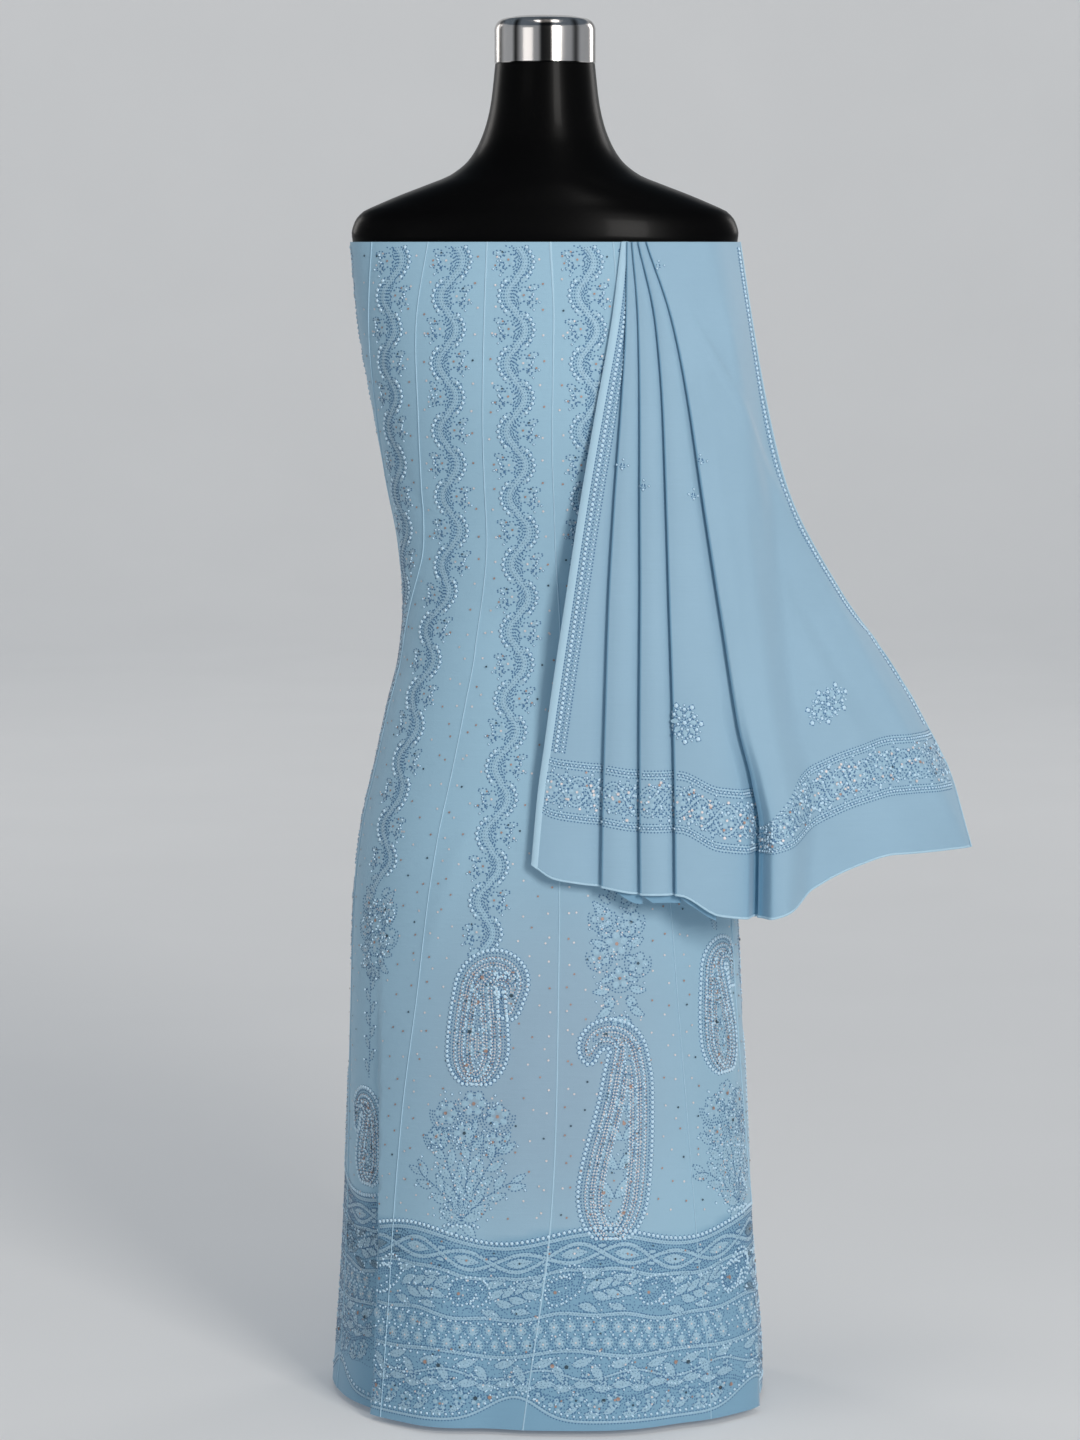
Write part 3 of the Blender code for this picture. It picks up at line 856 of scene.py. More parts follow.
class PaisleyShape:
    """A paisley's spine and half widths: a body, an arc over the top and a tail.

    It stands on its foot and hooks over to the left.
    """

    def __init__(self, height, width, radius, tail, neck, lean):
        rise = height - radius - neck * width / 2
        shares = np.linspace(0, 1, 30)
        body = np.column_stack([lean * ease(shares), rise * shares])
        turns = np.radians(np.linspace(8, 192, 18))
        over = np.column_stack([lean - radius + radius * np.cos(turns), rise + radius * np.sin(turns)])
        drops = np.linspace(0.2, 1, 6)
        down = np.column_stack([over[-1, 0] + 0.1 * tail * drops, over[-1, 1] - tail * drops])
        self.spine = np.concatenate([body, over, down])
        steps = np.hypot(*np.diff(self.spine, axis=0).T)
        self.share = np.concatenate([[0.0], np.cumsum(steps)]) / steps.sum()
        low = np.sqrt(np.clip(1 - ((BELLY - self.share) / BELLY) ** 2, 0, 1))
        high = neck + (1 - neck) * (1 - ease((self.share - BELLY) / 0.52))
        tip = np.sqrt(np.clip(1 - np.clip((self.share - 0.86) / 0.14, 0, 1) ** 2, 0, 1))
        tip = tip * (1 - 0.45 * ease((self.share - 0.6) / 0.3))
        self.half = np.where(self.share < BELLY, low, high * tip) * width / 2

    def at(self, share):
        """Return the spine's place across and up and the half width, at a share of its length."""
        x = np.interp(share, self.share, self.spine[:, 0])
        y = np.interp(share, self.share, self.spine[:, 1])
        return x, y, np.interp(share, self.share, self.half)

    def outline(self, inset):
        """Return the closed outline moved inwards, or None where too little is left."""
        half = self.half - inset
        kept = half > LEAST_HALF
        if kept.sum() < 3:
            return None
        left = beside(self.spine, half[:, None])[kept]
        right = beside(self.spine, -half[:, None])[kept]
        return np.concatenate([left, right[::-1], left[:1]])


def shape_line(shape, inset):
    """Return a paisley's outline moved inwards, or its middle where none is left."""
    line = shape.outline(inset)
    return shape.spine[8:-8] if line is None else line


def paisley(height, width, radius, tail, neck, lean, rows, draws):
    """Return a paisley with a knotted rim, filled with nested rows or a small bunch."""
    work = Needlework()
    shape = PaisleyShape(height, width, radius, tail, neck, lean)
    work.knotted(shape.outline(0.0), KNOT_PITCH, 1.12)
    for row in range(rows):
        line = shape.outline(0.0032 + 0.0027 * row)
        if line is None:
            break
        if row % 3 == 2:
            work.knotted(line, 0.0040, 0.72)
        else:
            work.dotted(line)
            if row > 0:
                work.beaded(shape_line(shape, 0.0045 + 0.0027 * row), 0.0030, draws)
    for _i in range(rows * 9):
        x, y, half = shape.at(draws.uniform(0.04, 0.80))
        half *= 0.72
        work.knot(x + draws.uniform(-half, half), y, 0.68)
        bow = draws.uniform(0.3, 1.2)
        work.dotted(arc(x + draws.uniform(-half, half), y, 0.0045, 200 * bow, 200 * bow + 170, 6), 0.8)
    for share in (0.09, 0.20, 0.31, 0.42, 0.53):
        x, y, half = shape.at(share)
        for lean_out in (-0.9, 0.9):
            work.place(leaf(half * 0.8, half * 0.30, -0.3 * lean_out), x, y - 0.006, math.pi / 2 + lean_out)
    places = ((0.12, 0.35), (0.20, -0.30), (0.30, 0.25), (0.46, 0.0), (0.60, 0.1), (0.85, 0.0))
    for i, (share, aside) in enumerate(places):
        x, y, half = shape.at(share)
        work.sequin(x + aside * half, y, 0.0040, 1 + (i % 3 == 2))
    for _i in range(rows * 4):
        x, y, half = shape.at(draws.uniform(0.06, 0.9))
        half *= 0.75
        work.sequin(x + draws.uniform(-half, half), y, TINY_SEQUIN, int(draws.integers(0, 3)))
    return work


# Twigs of a bunch: lean, length as a share of the height, bend and leaves
BUNCH_TWIGS = (
    (-0.52, 0.46, -0.30, 6),
    (-0.24, 0.62, -0.12, 8),
    (0.02, 0.66, 0.04, 9),
    (0.28, 0.62, 0.14, 8),
    (0.56, 0.44, 0.30, 6),
)
# Flowers of a bunch and of a cluster: across, up, and radius
BUNCH_FLOWERS = (
    (0.03, 0.92, 0.0135),
    (-0.30, 0.84, 0.0125),
    (0.33, 0.83, 0.0125),
    (-0.05, 0.70, 0.0120),
    (-0.40, 0.66, 0.0100),
    (0.30, 0.64, 0.0105),
)
CLUSTER_FLOWERS = (
    (-0.24, 0.90, 0.0115),
    (0.24, 0.86, 0.0120),
    (-0.02, 0.68, 0.0130),
    (-0.32, 0.56, 0.0110),
    (0.33, 0.50, 0.0115),
    (0.00, 0.38, 0.0115),
)


def bouquet(height, width, draws):
    """Return a bunch of leafy twigs with flowers at the top."""
    work = Needlework()
    for lean, reach, bend, leaves in BUNCH_TWIGS:
        twig = branch(reach * height, leaves, 0.0190, -bend, 0.46)
        work.place(twig, 0.0, height * 0.04, math.pi / 2 - lean)
    for side in (-1, 1):
        work.place(leaf(0.024, 0.0100, 0.4 * side), 0.0, height * 0.06, math.pi / 2 - side * 1.55)
        work.place(leaf(0.020, 0.0090, -0.4 * side), 0.0, height * 0.02, math.pi / 2 - side * 1.95)
    for i, (across, up, radius) in enumerate(BUNCH_FLOWERS):
        work.place(flower(radius, 6, 1 + (i % 4 == 3)), across * width, up * height, draws.uniform(0, 1))
        for reach in (1.18, 1.40):
            work.dotted(arc(across * width, up * height, radius * reach, 170, 370, 12))
    for i in range(9):
        work.knot(0.0042 * (i - 4), height * (0.005 + 0.012 * (i % 2)), 0.95)
    for _i in range(80):
        work.knot(draws.uniform(-0.46, 0.46) * width, draws.uniform(0.06, 1.0) * height, 0.68)
    for _i in range(60):
        work.sequin(draws.uniform(-0.42, 0.42) * width, draws.uniform(0.06, 1.0) * height, BEAD_SIZE, 0)
    return work


def cluster(height, width, draws):
    """Return a small bunch of flowers where a vine ends."""
    work = Needlework()
    for i, (across, up, radius) in enumerate(CLUSTER_FLOWERS):
        work.place(flower(radius, 5, 1 + (i % 3 == 1)), across * width, up * height, draws.uniform(0, 1))
        work.dotted(arc(across * width, up * height, radius * 1.22, 150, 390, 12))
    for side in (-1, 1):
        for up, lean in ((0.94, 0.5), (0.66, 0.1), (0.30, -0.5), (0.14, -0.9)):
            turn = math.pi / 2 - side * (math.pi / 2 - lean)
            work.place(leaf(0.0180, 0.0085, 0.3 * side), side * width * 0.16, up * height, turn)
            for rise, drift in ((0.08, 0.5), (-0.09, -0.4)):
                small = leaf(0.0140, 0.0066, -0.3 * side)
                work.place(small, side * width * 0.10, (up + rise) * height, turn + drift * side)
    for side in (-1, 0, 1):
        work.place(leaf(0.0165, 0.0066, 0.2 * side), 0.0, height * 0.06, -math.pi / 2 + 0.6 * side)
    for _i in range(60):
        work.knot(draws.uniform(-0.48, 0.48) * width, draws.uniform(0.0, 1.0) * height, 0.66)
    for _i in range(40):
        work.sequin(draws.uniform(-0.42, 0.42) * width, draws.uniform(0.0, 1.0) * height, BEAD_SIZE, 0)
    return work


# Shares of silver, rose and dark sequins
SEQUIN_TONES = (0.55, 0.34, 0.11)
BEAD_TONES = (0.78, 0.18, 0.04)
BEAD_SIZE = 0.0017
# Width of the dark stitch under a knot, a painted shadow, as a multiple of the knot
KNOT_PAINTED_SHADOW = 1.42

# Shape of one stitch: along, across and raised
STITCH_POINTS = ((-0.5, 0.0, 0.0), (0.0, -0.5, 0.0), (0.5, 0.0, 0.0), (0.0, 0.5, 0.0), (0.0, 0.0, 1.0))
STITCH_FACES = ((0, 1, 4), (1, 2, 4), (2, 3, 4), (3, 0, 4))
STITCH_RAISED = 0.0007
KNOT_RAISED = 0.0015
PAD_RAISED = 0.0004
RIBBON_RAISED = 0.0003
RIBBON_EDGE = 0.00005
RIBBON_STEP = 0.0030
SEQUIN_RAISED = 0.0005
SEQUIN_CROWN = 0.0003
SEQUIN_TILT = 0.42


def ring_shape(corners, levels):
    """Return the points and faces of a small dome of stacked rings."""
    points = []
    for radius, raised in levels:
        for i in range(corners):
            points.append((*polar(radius, 2 * math.pi * i / corners), raised))
    faces = []
    for level in range(len(levels) - 1):
        for i in range(corners):
            a = level * corners + i
            b = level * corners + (i + 1) % corners
            faces.append((a, b, b + corners))
            faces.append((a, b + corners, a + corners))
    last = (len(levels) - 1) * corners
    faces += [(last + i, last + (i + 1) % corners, last + corners) for i in range(corners)]
    return points + [(0.0, 0.0, 1.0)], faces


def pad_shape():
    """Return the points and faces of a leaf pad with a raised middle."""
    half = ((-0.5, 0.0), (-0.30, 0.38), (0.02, 0.5), (0.32, 0.38))
    rim = list(half) + [(-x, -y) for x, y in half]
    points = [(x, y, 0.0) for x, y in rim] + [(0.0, 0.0, 1.0)]
    return points, [((i + 1) % 8, i, 8) for i in range(8)]


# Points, faces, height and material number of each kind of needlework
SHAPES = {
    "stitches": (STITCH_POINTS, STITCH_FACES, STITCH_RAISED, 0),
    "knots": (*ring_shape(5, ((0.5, 0.0), (0.44, 0.62))), KNOT_RAISED, 1),
    "pads": (*pad_shape(), PAD_RAISED, 2),
    "sequins": (*ring_shape(5, ((0.5, 0.0),)), SEQUIN_CROWN, 3),
}


def laid_points(shape_points, rows, frames, raised, lifts=None):
    """Return one shape's points at every row, laid on the cloth."""
    origin, along, rise, out = frames
    shape = np.array(shape_points, dtype=float)
    cosine = np.cos(rows[:, 2])[:, None]
    sine = np.sin(rows[:, 2])[:, None]
    length = rows[:, 3:4] * shape[:, 0]
    width = rows[:, 4:5] * shape[:, 1]
    x = length * cosine - width * sine
    y = length * sine + width * cosine
    z = np.broadcast_to(shape[:, 2] * raised, x.shape)
    if lifts is not None:
        z = z + lifts
    points = origin[:, None] + x[..., None] * along[:, None] + y[..., None] * rise[:, None]
    return points + z[..., None] * out[:, None]


class Sewing:
    """Gathers needlework laid on cloth, and joins it into one mesh."""

    def __init__(self, draws):
        self.points = []
        self.faces = []
        self.tones = []
        self.count = 0
        self.draws = draws

    def add(self, points, faces, tone):
        """Add many copies of one shape, all with one material number each."""
        copies, corners = points.shape[:2]
        starts = self.count + np.arange(copies) * corners
        self.points.append(points.reshape(-1, 3))
        self.faces.append((np.array(faces)[None] + starts[:, None, None]).reshape(-1, 3))
        self.tones.append(np.broadcast_to(np.reshape(tone, (-1, 1)), (copies, len(faces))).ravel())
        self.count += copies * corners

    def sew(self, work, surface, margin=0.0015):
        """Lay flat needlework on a cloth surface, leaving out what falls beside it."""
        for kind in Needlework.KINDS:
            rows = work.rows(kind)
            rows = rows[surface.holds(rows[:, 0], rows[:, 1], margin)]
            if len(rows):
                self.lay(kind, rows, surface.frames(rows[:, 0], rows[:, 1]))
        for line, widths in work.ribbons:
            self.lay_ribbon(line, widths, surface, margin)

    def lay_ribbon(self, line, widths, surface, margin):
        """Add a ribbon, raised along its middle."""
        lengths = run_lengths(line)
        count = max(int(lengths[-1] / RIBBON_STEP), 3) + 1
        places = np.linspace(0, lengths[-1], count)
        line = line_at(line, lengths, places).T
        widths = np.interp(places, lengths, widths)
        points = []
        inside = []
        for side, raised in ((-0.5, RIBBON_EDGE), (0.0, RIBBON_RAISED), (0.5, RIBBON_EDGE)):
            row = beside(line, side * widths[:, None])
            inside.append(surface.holds(row[:, 0], row[:, 1], margin))
            points.append(surface.raised(row[:, 0], row[:, 1], raised))
        i = np.arange(count - 1)
        faces = []
        for strip in (0, count):
            faces.append(np.column_stack([strip + i, strip + i + 1, strip + count + i + 1]))
            faces.append(np.column_stack([strip + i, strip + count + i + 1, strip + count + i]))
        faces = np.concatenate(faces)
        faces = faces[np.concatenate(inside)[faces].all(axis=1)]
        if len(faces):
            self.points.append(np.concatenate(points))
            self.faces.append(faces + self.count)
            self.tones.append(np.full(len(faces), 2))
            self.count += 3 * count

    def lay(self, kind, rows, frames):
        """Add one kind of needlework at its places on the cloth."""
        shape, faces, raised, tones = SHAPES[kind]
        lifts = None
        if kind == "sequins":
            tones = rows[:, 2].astype(int) + tones
            rows = rows.copy()
            rows[:, 2] = self.draws.uniform(0, math.pi, len(rows))
            away = np.array(shape, dtype=float)
            tilt = self.draws.normal(0, SEQUIN_TILT, (len(rows), 2)) * rows[:, 3:4]
            lifts = SEQUIN_RAISED + np.abs(tilt[:, :1] * away[:, 0] + tilt[:, 1:] * away[:, 1])
        self.add(laid_points(shape, rows, frames, raised, lifts), faces, tones)

    def finish(self, name):
        """Make the mesh of everything sewn, riding on the body."""
        points = np.concatenate(self.points)
        faces = np.concatenate(self.faces)
        data = bpy.data.meshes.new(name)
        data.vertices.add(len(points))
        data.vertices.foreach_set("co", points.astype(np.float32).ravel())
        data.loops.add(faces.size)
        data.loops.foreach_set("vertex_index", faces.astype(np.int32).ravel())
        data.polygons.add(len(faces))
        data.polygons.foreach_set("loop_start", np.arange(0, faces.size, 3, dtype=np.int32))
        for material in needlework_materials():
            data.materials.append(material)
        data.polygons.foreach_set("material_index", np.concatenate(self.tones).astype(np.int32))
        data.update(calc_edges=True)
        data.shade_smooth()
        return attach(add_object(name, data), BODY)


def set_input(tree, node, name, value):
    """Set one input of a node, or link it to another node's output."""
    if isinstance(value, bpy.types.NodeSocket):
        tree.links.new(value, node.inputs[name])
    else:
        node.inputs[name].default_value = value


def add_node(tree, kind, place, inputs=(), **values):
    """Add a shader node, set its plain values, and set or link its inputs."""
    node = tree.nodes.new(kind)
    node.location = place
    for name, value in values.items():
        setattr(node, name, value)
    for name, value in dict(inputs).items():
        set_input(tree, node, name, value)
    return node


def opaque(colour):
    """Return a colour with full cover, as shader inputs take it."""
    return (*colour, 1.0)


def scaled(colour, factor):
    """Return a colour made lighter or darker."""
    return tuple(min(value * factor, 1.0) for value in colour)


def start_material(name, colour, roughness, metallic=0.0, extra=()):
    """Return a new material, its tree and its main shader."""
    material = bpy.data.materials.new(name)
    material.use_nodes = True
    tree = material.node_tree
    shader = tree.nodes["Principled BSDF"]
    values = {"Base Color": opaque(colour), "Roughness": roughness, "Metallic": metallic}
    for label, value in {**values, **dict(extra)}.items():
        set_input(tree, shader, label, value)
    return material, tree, shader


def metres(tree, place):
    """Return the socket of places in the object's own metres."""
    return add_node(tree, "ShaderNodeTexCoord", place).outputs["Object"]


def mapped(tree, place, inputs, **values):
    """Return the socket of the object's own metres, moved, turned or scaled."""
    vector = metres(tree, (place[0] - 200, place[1]))
    mapping = add_node(tree, "ShaderNodeMapping", place, {"Vector": vector, **inputs}, **values)
    return mapping.outputs["Vector"]


def noise(tree, place, scale, detail=2.0):
    """Add a noise texture in the object's own metres, and return its value socket."""
    inputs = {"Vector": metres(tree, (place[0] - 400, place[1])), "Scale": scale, "Detail": detail}
    return add_node(tree, "ShaderNodeTexNoise", place, inputs).outputs["Fac"]


def mixed(tree, share, first, second, place):
    """Mix two colours or colour sockets by a value, and return the colour socket."""
    inputs = {"Factor": share, "A": first, "B": second}
    return add_node(tree, "ShaderNodeMix", place, inputs, data_type="RGBA").outputs["Result"]


def varied(tree, shader, scale, detail, first, second):
    """Let the base colour drift between two colours, and return the value and colour sockets."""
    value = noise(tree, (-700, 200), scale, detail)
    socket = mixed(tree, value, opaque(first), opaque(second), (-450, 200))
    set_input(tree, shader, "Base Color", socket)
    return value, socket


def add_bump(tree, shader, value, distance, strength=1.0):
    """Let a value raise the surface's look by a distance in metres."""
    inputs = {"Height": value, "Distance": distance, "Strength": strength}
    bump = add_node(tree, "ShaderNodeBump", (-200, -400), inputs)
    set_input(tree, shader, "Normal", bump.outputs["Normal"])


def weave(tree, pitch, place):
    """Add two crossed thread waves, and return their joint value socket."""
    vector = metres(tree, (place[0] - 600, place[1]))
    inputs = {"Vector": vector, "Scale": math.pi / pitch / 10, "Distortion": 1.5, "Detail": 1.0}
    waves = []
    for i, direction in enumerate(("X", "Z")):
        spot = (place[0] - 300, place[1] - 300 * i)
        wave = add_node(tree, "ShaderNodeTexWave", spot, inputs, bands_direction=direction)
        waves.append(wave.outputs["Fac"])
    joined = add_node(tree, "ShaderNodeMath", place, enumerate(waves), operation="MULTIPLY")
    return joined.outputs["Value"]


# Waves of the crinkles in a metre, across, in depth and up
CRINKLE_SCALE = (22.0, 22.0, 230.0)


def crinkles(tree, place):
    """Add a noise drawn out across the cloth, and return its value socket."""
    vector = mapped(tree, (place[0] - 300, place[1]), {"Scale": CRINKLE_SCALE})
    inputs = {"Vector": vector, "Scale": 1.0, "Detail": 3.0}
    return add_node(tree, "ShaderNodeTexNoise", place, inputs).outputs["Fac"]


# Painted glow: faint blue light the cloth gives off itself, for light through the thin cloth, so that its
# folds stay blue
PAINTED_GLOW_COLOUR = (0.06, 0.24, 0.42)
PAINTED_GLOW_STRENGTH = 0.11
# How many times stronger the crinkles are than the weave, and the bump's depth
CRINKLE_SHARE = 3.0
CLOTH_BUMP = 0.00012


def cloth_shader(name, colour, sheen, rough, grain):
    """Make a matt woven cloth whose colour drifts a little, with a faint painted glow."""
    extra = {
        "Sheen Weight": sheen,
        "Sheen Roughness": 0.45,
        "Specular IOR Level": 0.25,
        "Emission Color": opaque(PAINTED_GLOW_COLOUR),
        "Emission Strength": PAINTED_GLOW_STRENGTH,
    }
    _material, tree, shader = start_material(name, colour, rough, extra=extra)
    socket = varied(tree, shader, 9.0, 3.0, scaled(colour, 0.93), scaled(colour, 1.06))[1]
    inputs = (crinkles(tree, (-700, -900)), CRINKLE_SHARE, weave(tree, grain, (-450, -400)))
    joined = add_node(tree, "ShaderNodeMath", (-300, -600), enumerate(inputs), operation="MULTIPLY_ADD")
    add_bump(tree, shader, joined.outputs["Value"], CLOTH_BUMP, 0.6)
    return tree, shader, socket


def deepened(tree, shader, plain, attribute, deep):
    """Mix painted shade, a deeper colour, into the cloth, as much as an attribute of its mesh says."""
    share = add_node(tree, "ShaderNodeAttribute", (-450, 500), attribute_name=attribute).outputs["Fac"]
    set_input(tree, shader, "Base Color", mixed(tree, share, plain, opaque(deep), (-220, 300)))


# Middle and half size of the painted shade, a greyer ground low on the front, the
# nearness to its middle at which it is full, and how much of it is mixed in there
LOW_SHADE_PLACE = (0.0, -0.17, 0.36)
LOW_SHADE_REACH = (0.21, 0.60, 0.27)
LOW_SHADE_EDGE = 0.85
LOW_SHADE_SHARE = 0.80


def painted_low_shade(tree, plain):
    """Mix painted shade, a greyer colour, into the middle of the lower front, and return the socket."""
    inputs = {"Location": LOW_SHADE_PLACE, "Scale": LOW_SHADE_REACH}
    inputs = {"Vector": mapped(tree, (-1100, 900), inputs, vector_type="TEXTURE")}
    gradient = add_node(tree, "ShaderNodeTexGradient", (-900, 900), inputs, gradient_type="SPHERICAL")
    inputs = {"Value": gradient.outputs["Fac"], "From Max": LOW_SHADE_EDGE, "To Max": LOW_SHADE_SHARE}
    soft = add_node(tree, "ShaderNodeMapRange", (-700, 900), inputs, interpolation_type="SMOOTHSTEP")
    return mixed(tree, soft.outputs["Result"], plain, opaque(colours().kurta_low_painted_shade), (-450, 900))


def georgette():
    """Return the kurta's cloth, with painted shade: a deeper ground in the hem band and a greyer one low on
    the front.
    """
    name = "kurta_georgette_cloth"
    if name not in bpy.data.materials:
        tree, shader, plain = cloth_shader(name, colours().kurta, 0.25, 0.78, 0.0009)
        deepened(tree, shader, painted_low_shade(tree, plain), "border", colours().kurta_band_shade_colour)
    return bpy.data.materials[name]


def chiffon():
    """Return the dupatta's cloth, with painted shade, deeper in colour in its folds and where it is folded
    away.
    """
    name = "dupatta_chiffon_cloth"
    if name not in bpy.data.materials:
        tree, shader, plain = cloth_shader(name, colours().dupatta, 0.30, 0.70, 0.0011)
        deepened(tree, shader, plain, "fold_shade", colours().dupatta_shade_colour)
    return bpy.data.materials[name]


def edging_cloth():
    """Return the paler cloth of the dupatta's edging and the kurta's seams."""
    name = "pale_edging_cloth"
    if name not in bpy.data.materials:
        cloth_shader(name, colours().edging, 0.25, 0.65, 0.0009)
    return bpy.data.materials[name]


def needlework_material(name, colour, rough, metallic):
    """Make a thread's material, or a sequin's where it is metallic."""
    extra = {} if metallic else {"Sheen Weight": 0.3}
    _material, tree, shader = start_material(name, colour, rough, metallic, extra)
    if metallic:
        varied(tree, shader, 300.0, 1.0, scaled(colour, 0.7), scaled(colour, 1.2))
    else:
        value = varied(tree, shader, 420.0, 1.0, scaled(colour, 0.82), scaled(colour, 1.16))[0]
        add_bump(tree, shader, value, 0.0002)


def needlework_materials():
    """Return the materials of stitches, knots, pads and three tones of sequin."""
    rows = (
        # The stitches' dark thread also paints their shade
        ("stitch_thread", colours().thread, 0.55, 0.0),
        ("knot_thread", colours().knot, 0.45, 0.0),
        ("pad_thread", colours().pad, 0.60, 0.0),
        ("sequin_silver", colours().silver, 0.60, 0.30),
        ("sequin_rose", colours().rose, 0.58, 0.35),
        ("sequin_dark", scaled(colours().kurta_band_shade_colour, 0.30), 0.34, 0.60),
    )
    for row in rows:
        if row[0] not in bpy.data.materials:
            needlework_material(*row)
    return [bpy.data.materials[row[0]] for row in rows]


def gloss_black():
    """Return the form's black shell with a low gloss."""
    extra = {"Specular IOR Level": 0.035, "Coat Weight": 0.015, "Coat Roughness": 0.10}
    material, tree, shader = start_material("form_gloss_shell", (0.0018, 0.0018, 0.0019), 0.30, 0.0, extra)
    add_bump(tree, shader, noise(tree, (-700, -400), 14.0), 0.0006, 0.20)
    return material


# Painted reflection: bright and dark bands round the chrome cap, as place round it
# in turns, and brightness. The first and last are the same place, at the back.
PAINTED_REFLECTION_BANDS = (
    (0.0, 0.55), (0.30, 0.45), (0.325, 0.04), (0.355, 0.75), (0.385, 0.72), (0.402, 0.05),
    (0.425, 0.70), (0.475, 0.62), (0.490, 0.03), (0.515, 0.04), (0.530, 0.75), (0.580, 0.65),
    (0.602, 0.10), (0.625, 0.72), (0.670, 0.60), (0.700, 0.05), (0.730, 0.55), (1.0, 0.55),
)
# Colour of the cap's top, and how far a face looks up where the bands start to
# fade into it and where they end
CHROME_TOP = (0.55, 0.53, 0.51)
CHROME_FADE = (0.60, 0.97)


def chrome():
    """Return the cap's polished chrome, with a painted reflection of bands as if it mirrored a dark room."""
    material, tree, shader = start_material("cap_polished_chrome", (0.72, 0.72, 0.74), 0.16, 1.0)
    inputs = {"Vector": mapped(tree, (-1200, 200), {"Rotation": (0.0, 0.0, math.pi / 2)})}
    gradient = add_node(tree, "ShaderNodeTexGradient", (-1000, 200), inputs, gradient_type="RADIAL")
    ramp = add_node(tree, "ShaderNodeValToRGB", (-800, 200), {"Fac": gradient.outputs["Color"]})
    ramp.color_ramp.interpolation = "EASE"
    points = ramp.color_ramp.elements
    while len(points) < len(PAINTED_REFLECTION_BANDS):
        points.new(0.5)
    for point, (place, bright) in zip(points, PAINTED_REFLECTION_BANDS):
        point.position = place
        point.color = (bright, bright * 0.96, bright * 0.93, 1.0)
    facing = add_node(tree, "ShaderNodeNewGeometry", (-1000, 600)).outputs["Normal"]
    upward = add_node(tree, "ShaderNodeSeparateXYZ", (-800, 600), {"Vector": facing}).outputs["Z"]
    inputs = {"Value": upward, "From Min": CHROME_FADE[0], "From Max": CHROME_FADE[1]}
    fade = add_node(tree, "ShaderNodeMapRange", (-600, 600), inputs, interpolation_type="SMOOTHSTEP")
    colour = mixed(tree, fade.outputs["Result"], ramp.outputs["Color"], opaque(CHROME_TOP), (-350, 300))
    set_input(tree, shader, "Base Color", colour)
    add_bump(tree, shader, noise(tree, (-700, -400), 260.0, 1.0), 0.00002)
    return material


def brushed_steel():
    """Return the hidden stand's brushed steel."""
    material, tree, shader = start_material("stand_brushed_steel", (0.34, 0.34, 0.35), 0.36, 1.0)
    value = varied(tree, shader, 180.0, 2.0, (0.28, 0.28, 0.29), (0.42, 0.42, 0.43))[0]
    add_bump(tree, shader, value, 0.00004)
    return material


# Shape of the form above the kurta: height, half width and half depth.
SHOULDERS = (
    (1.1590, 0.1898, 0.0840),
    (1.1670, 0.1908, 0.0820),
    (1.1785, 0.1878, 0.0800),
    (1.1883, 0.1799, 0.0780),
    (1.1952, 0.1656, 0.0765),
    (1.2050, 0.1424, 0.0750),
    (1.2147, 0.1171, 0.0730),
    (1.2245, 0.0932, 0.0700),
    (1.2392, 0.0751, 0.0650),
    (1.2587, 0.0635, 0.0590),
    (1.2782, 0.0568, 0.0550),
    (1.2976, 0.0529, 0.0520),
    (1.3326, 0.0490, 0.0490),
)
UNDERSIDE = ((0.500, 0.45), (0.504, 0.68), (0.518, 0.85), (0.545, 0.92), (0.590, 0.97), (0.621, 1.0))
FORM_INSET = 0.0026
FORM_STEPS = 120
FORM_SHARP = math.radians(40)
# Heights of the form's rings: start and step up to the kurta's top edge, the gap
# left there, and start, end and step of two runs above it
TORSO_START = 0.64
TORSO_STEP = 0.012
TORSO_GAP = 0.004
SHOULDER_RUNS = ((1.161, 1.26, 0.0035), (1.262, SHOULDERS[-1][0], 0.006))
shoulder_table = SizeTable(("height", "width", "depth"), SHOULDERS)
underside_table = SizeTable(("height", "share"), UNDERSIDE)


def lofted(name, rings, material):
    """Make a closed body through rings of the same number of points."""
    rings = np.asarray(rings)
    count = rings.shape[1]
    faces = []
    for i in range(len(rings) - 1):
        for j in range(count):
            k = (j + 1) % count
            faces.append((i * count + j, i * count + k, (i + 1) * count + k, (i + 1) * count + j))
    faces.append(tuple(range(count))[::-1])
    faces.append(tuple((len(rings) - 1) * count + j for j in range(count)))
    item = joined_mesh(name, rings.reshape(-1, 3), faces, material)
    item.data.set_sharp_from_angle(angle=FORM_SHARP)
    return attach(item, BODY)


def round_rings(profile, steps):
    """Return the rings of a profile of radius and height pairs, turned round."""
    angles = np.linspace(0, 2 * math.pi, steps, endpoint=False)
    return [np.column_stack([r * np.sin(angles), -r * np.cos(angles), 0 * angles + z]) for r, z in profile]


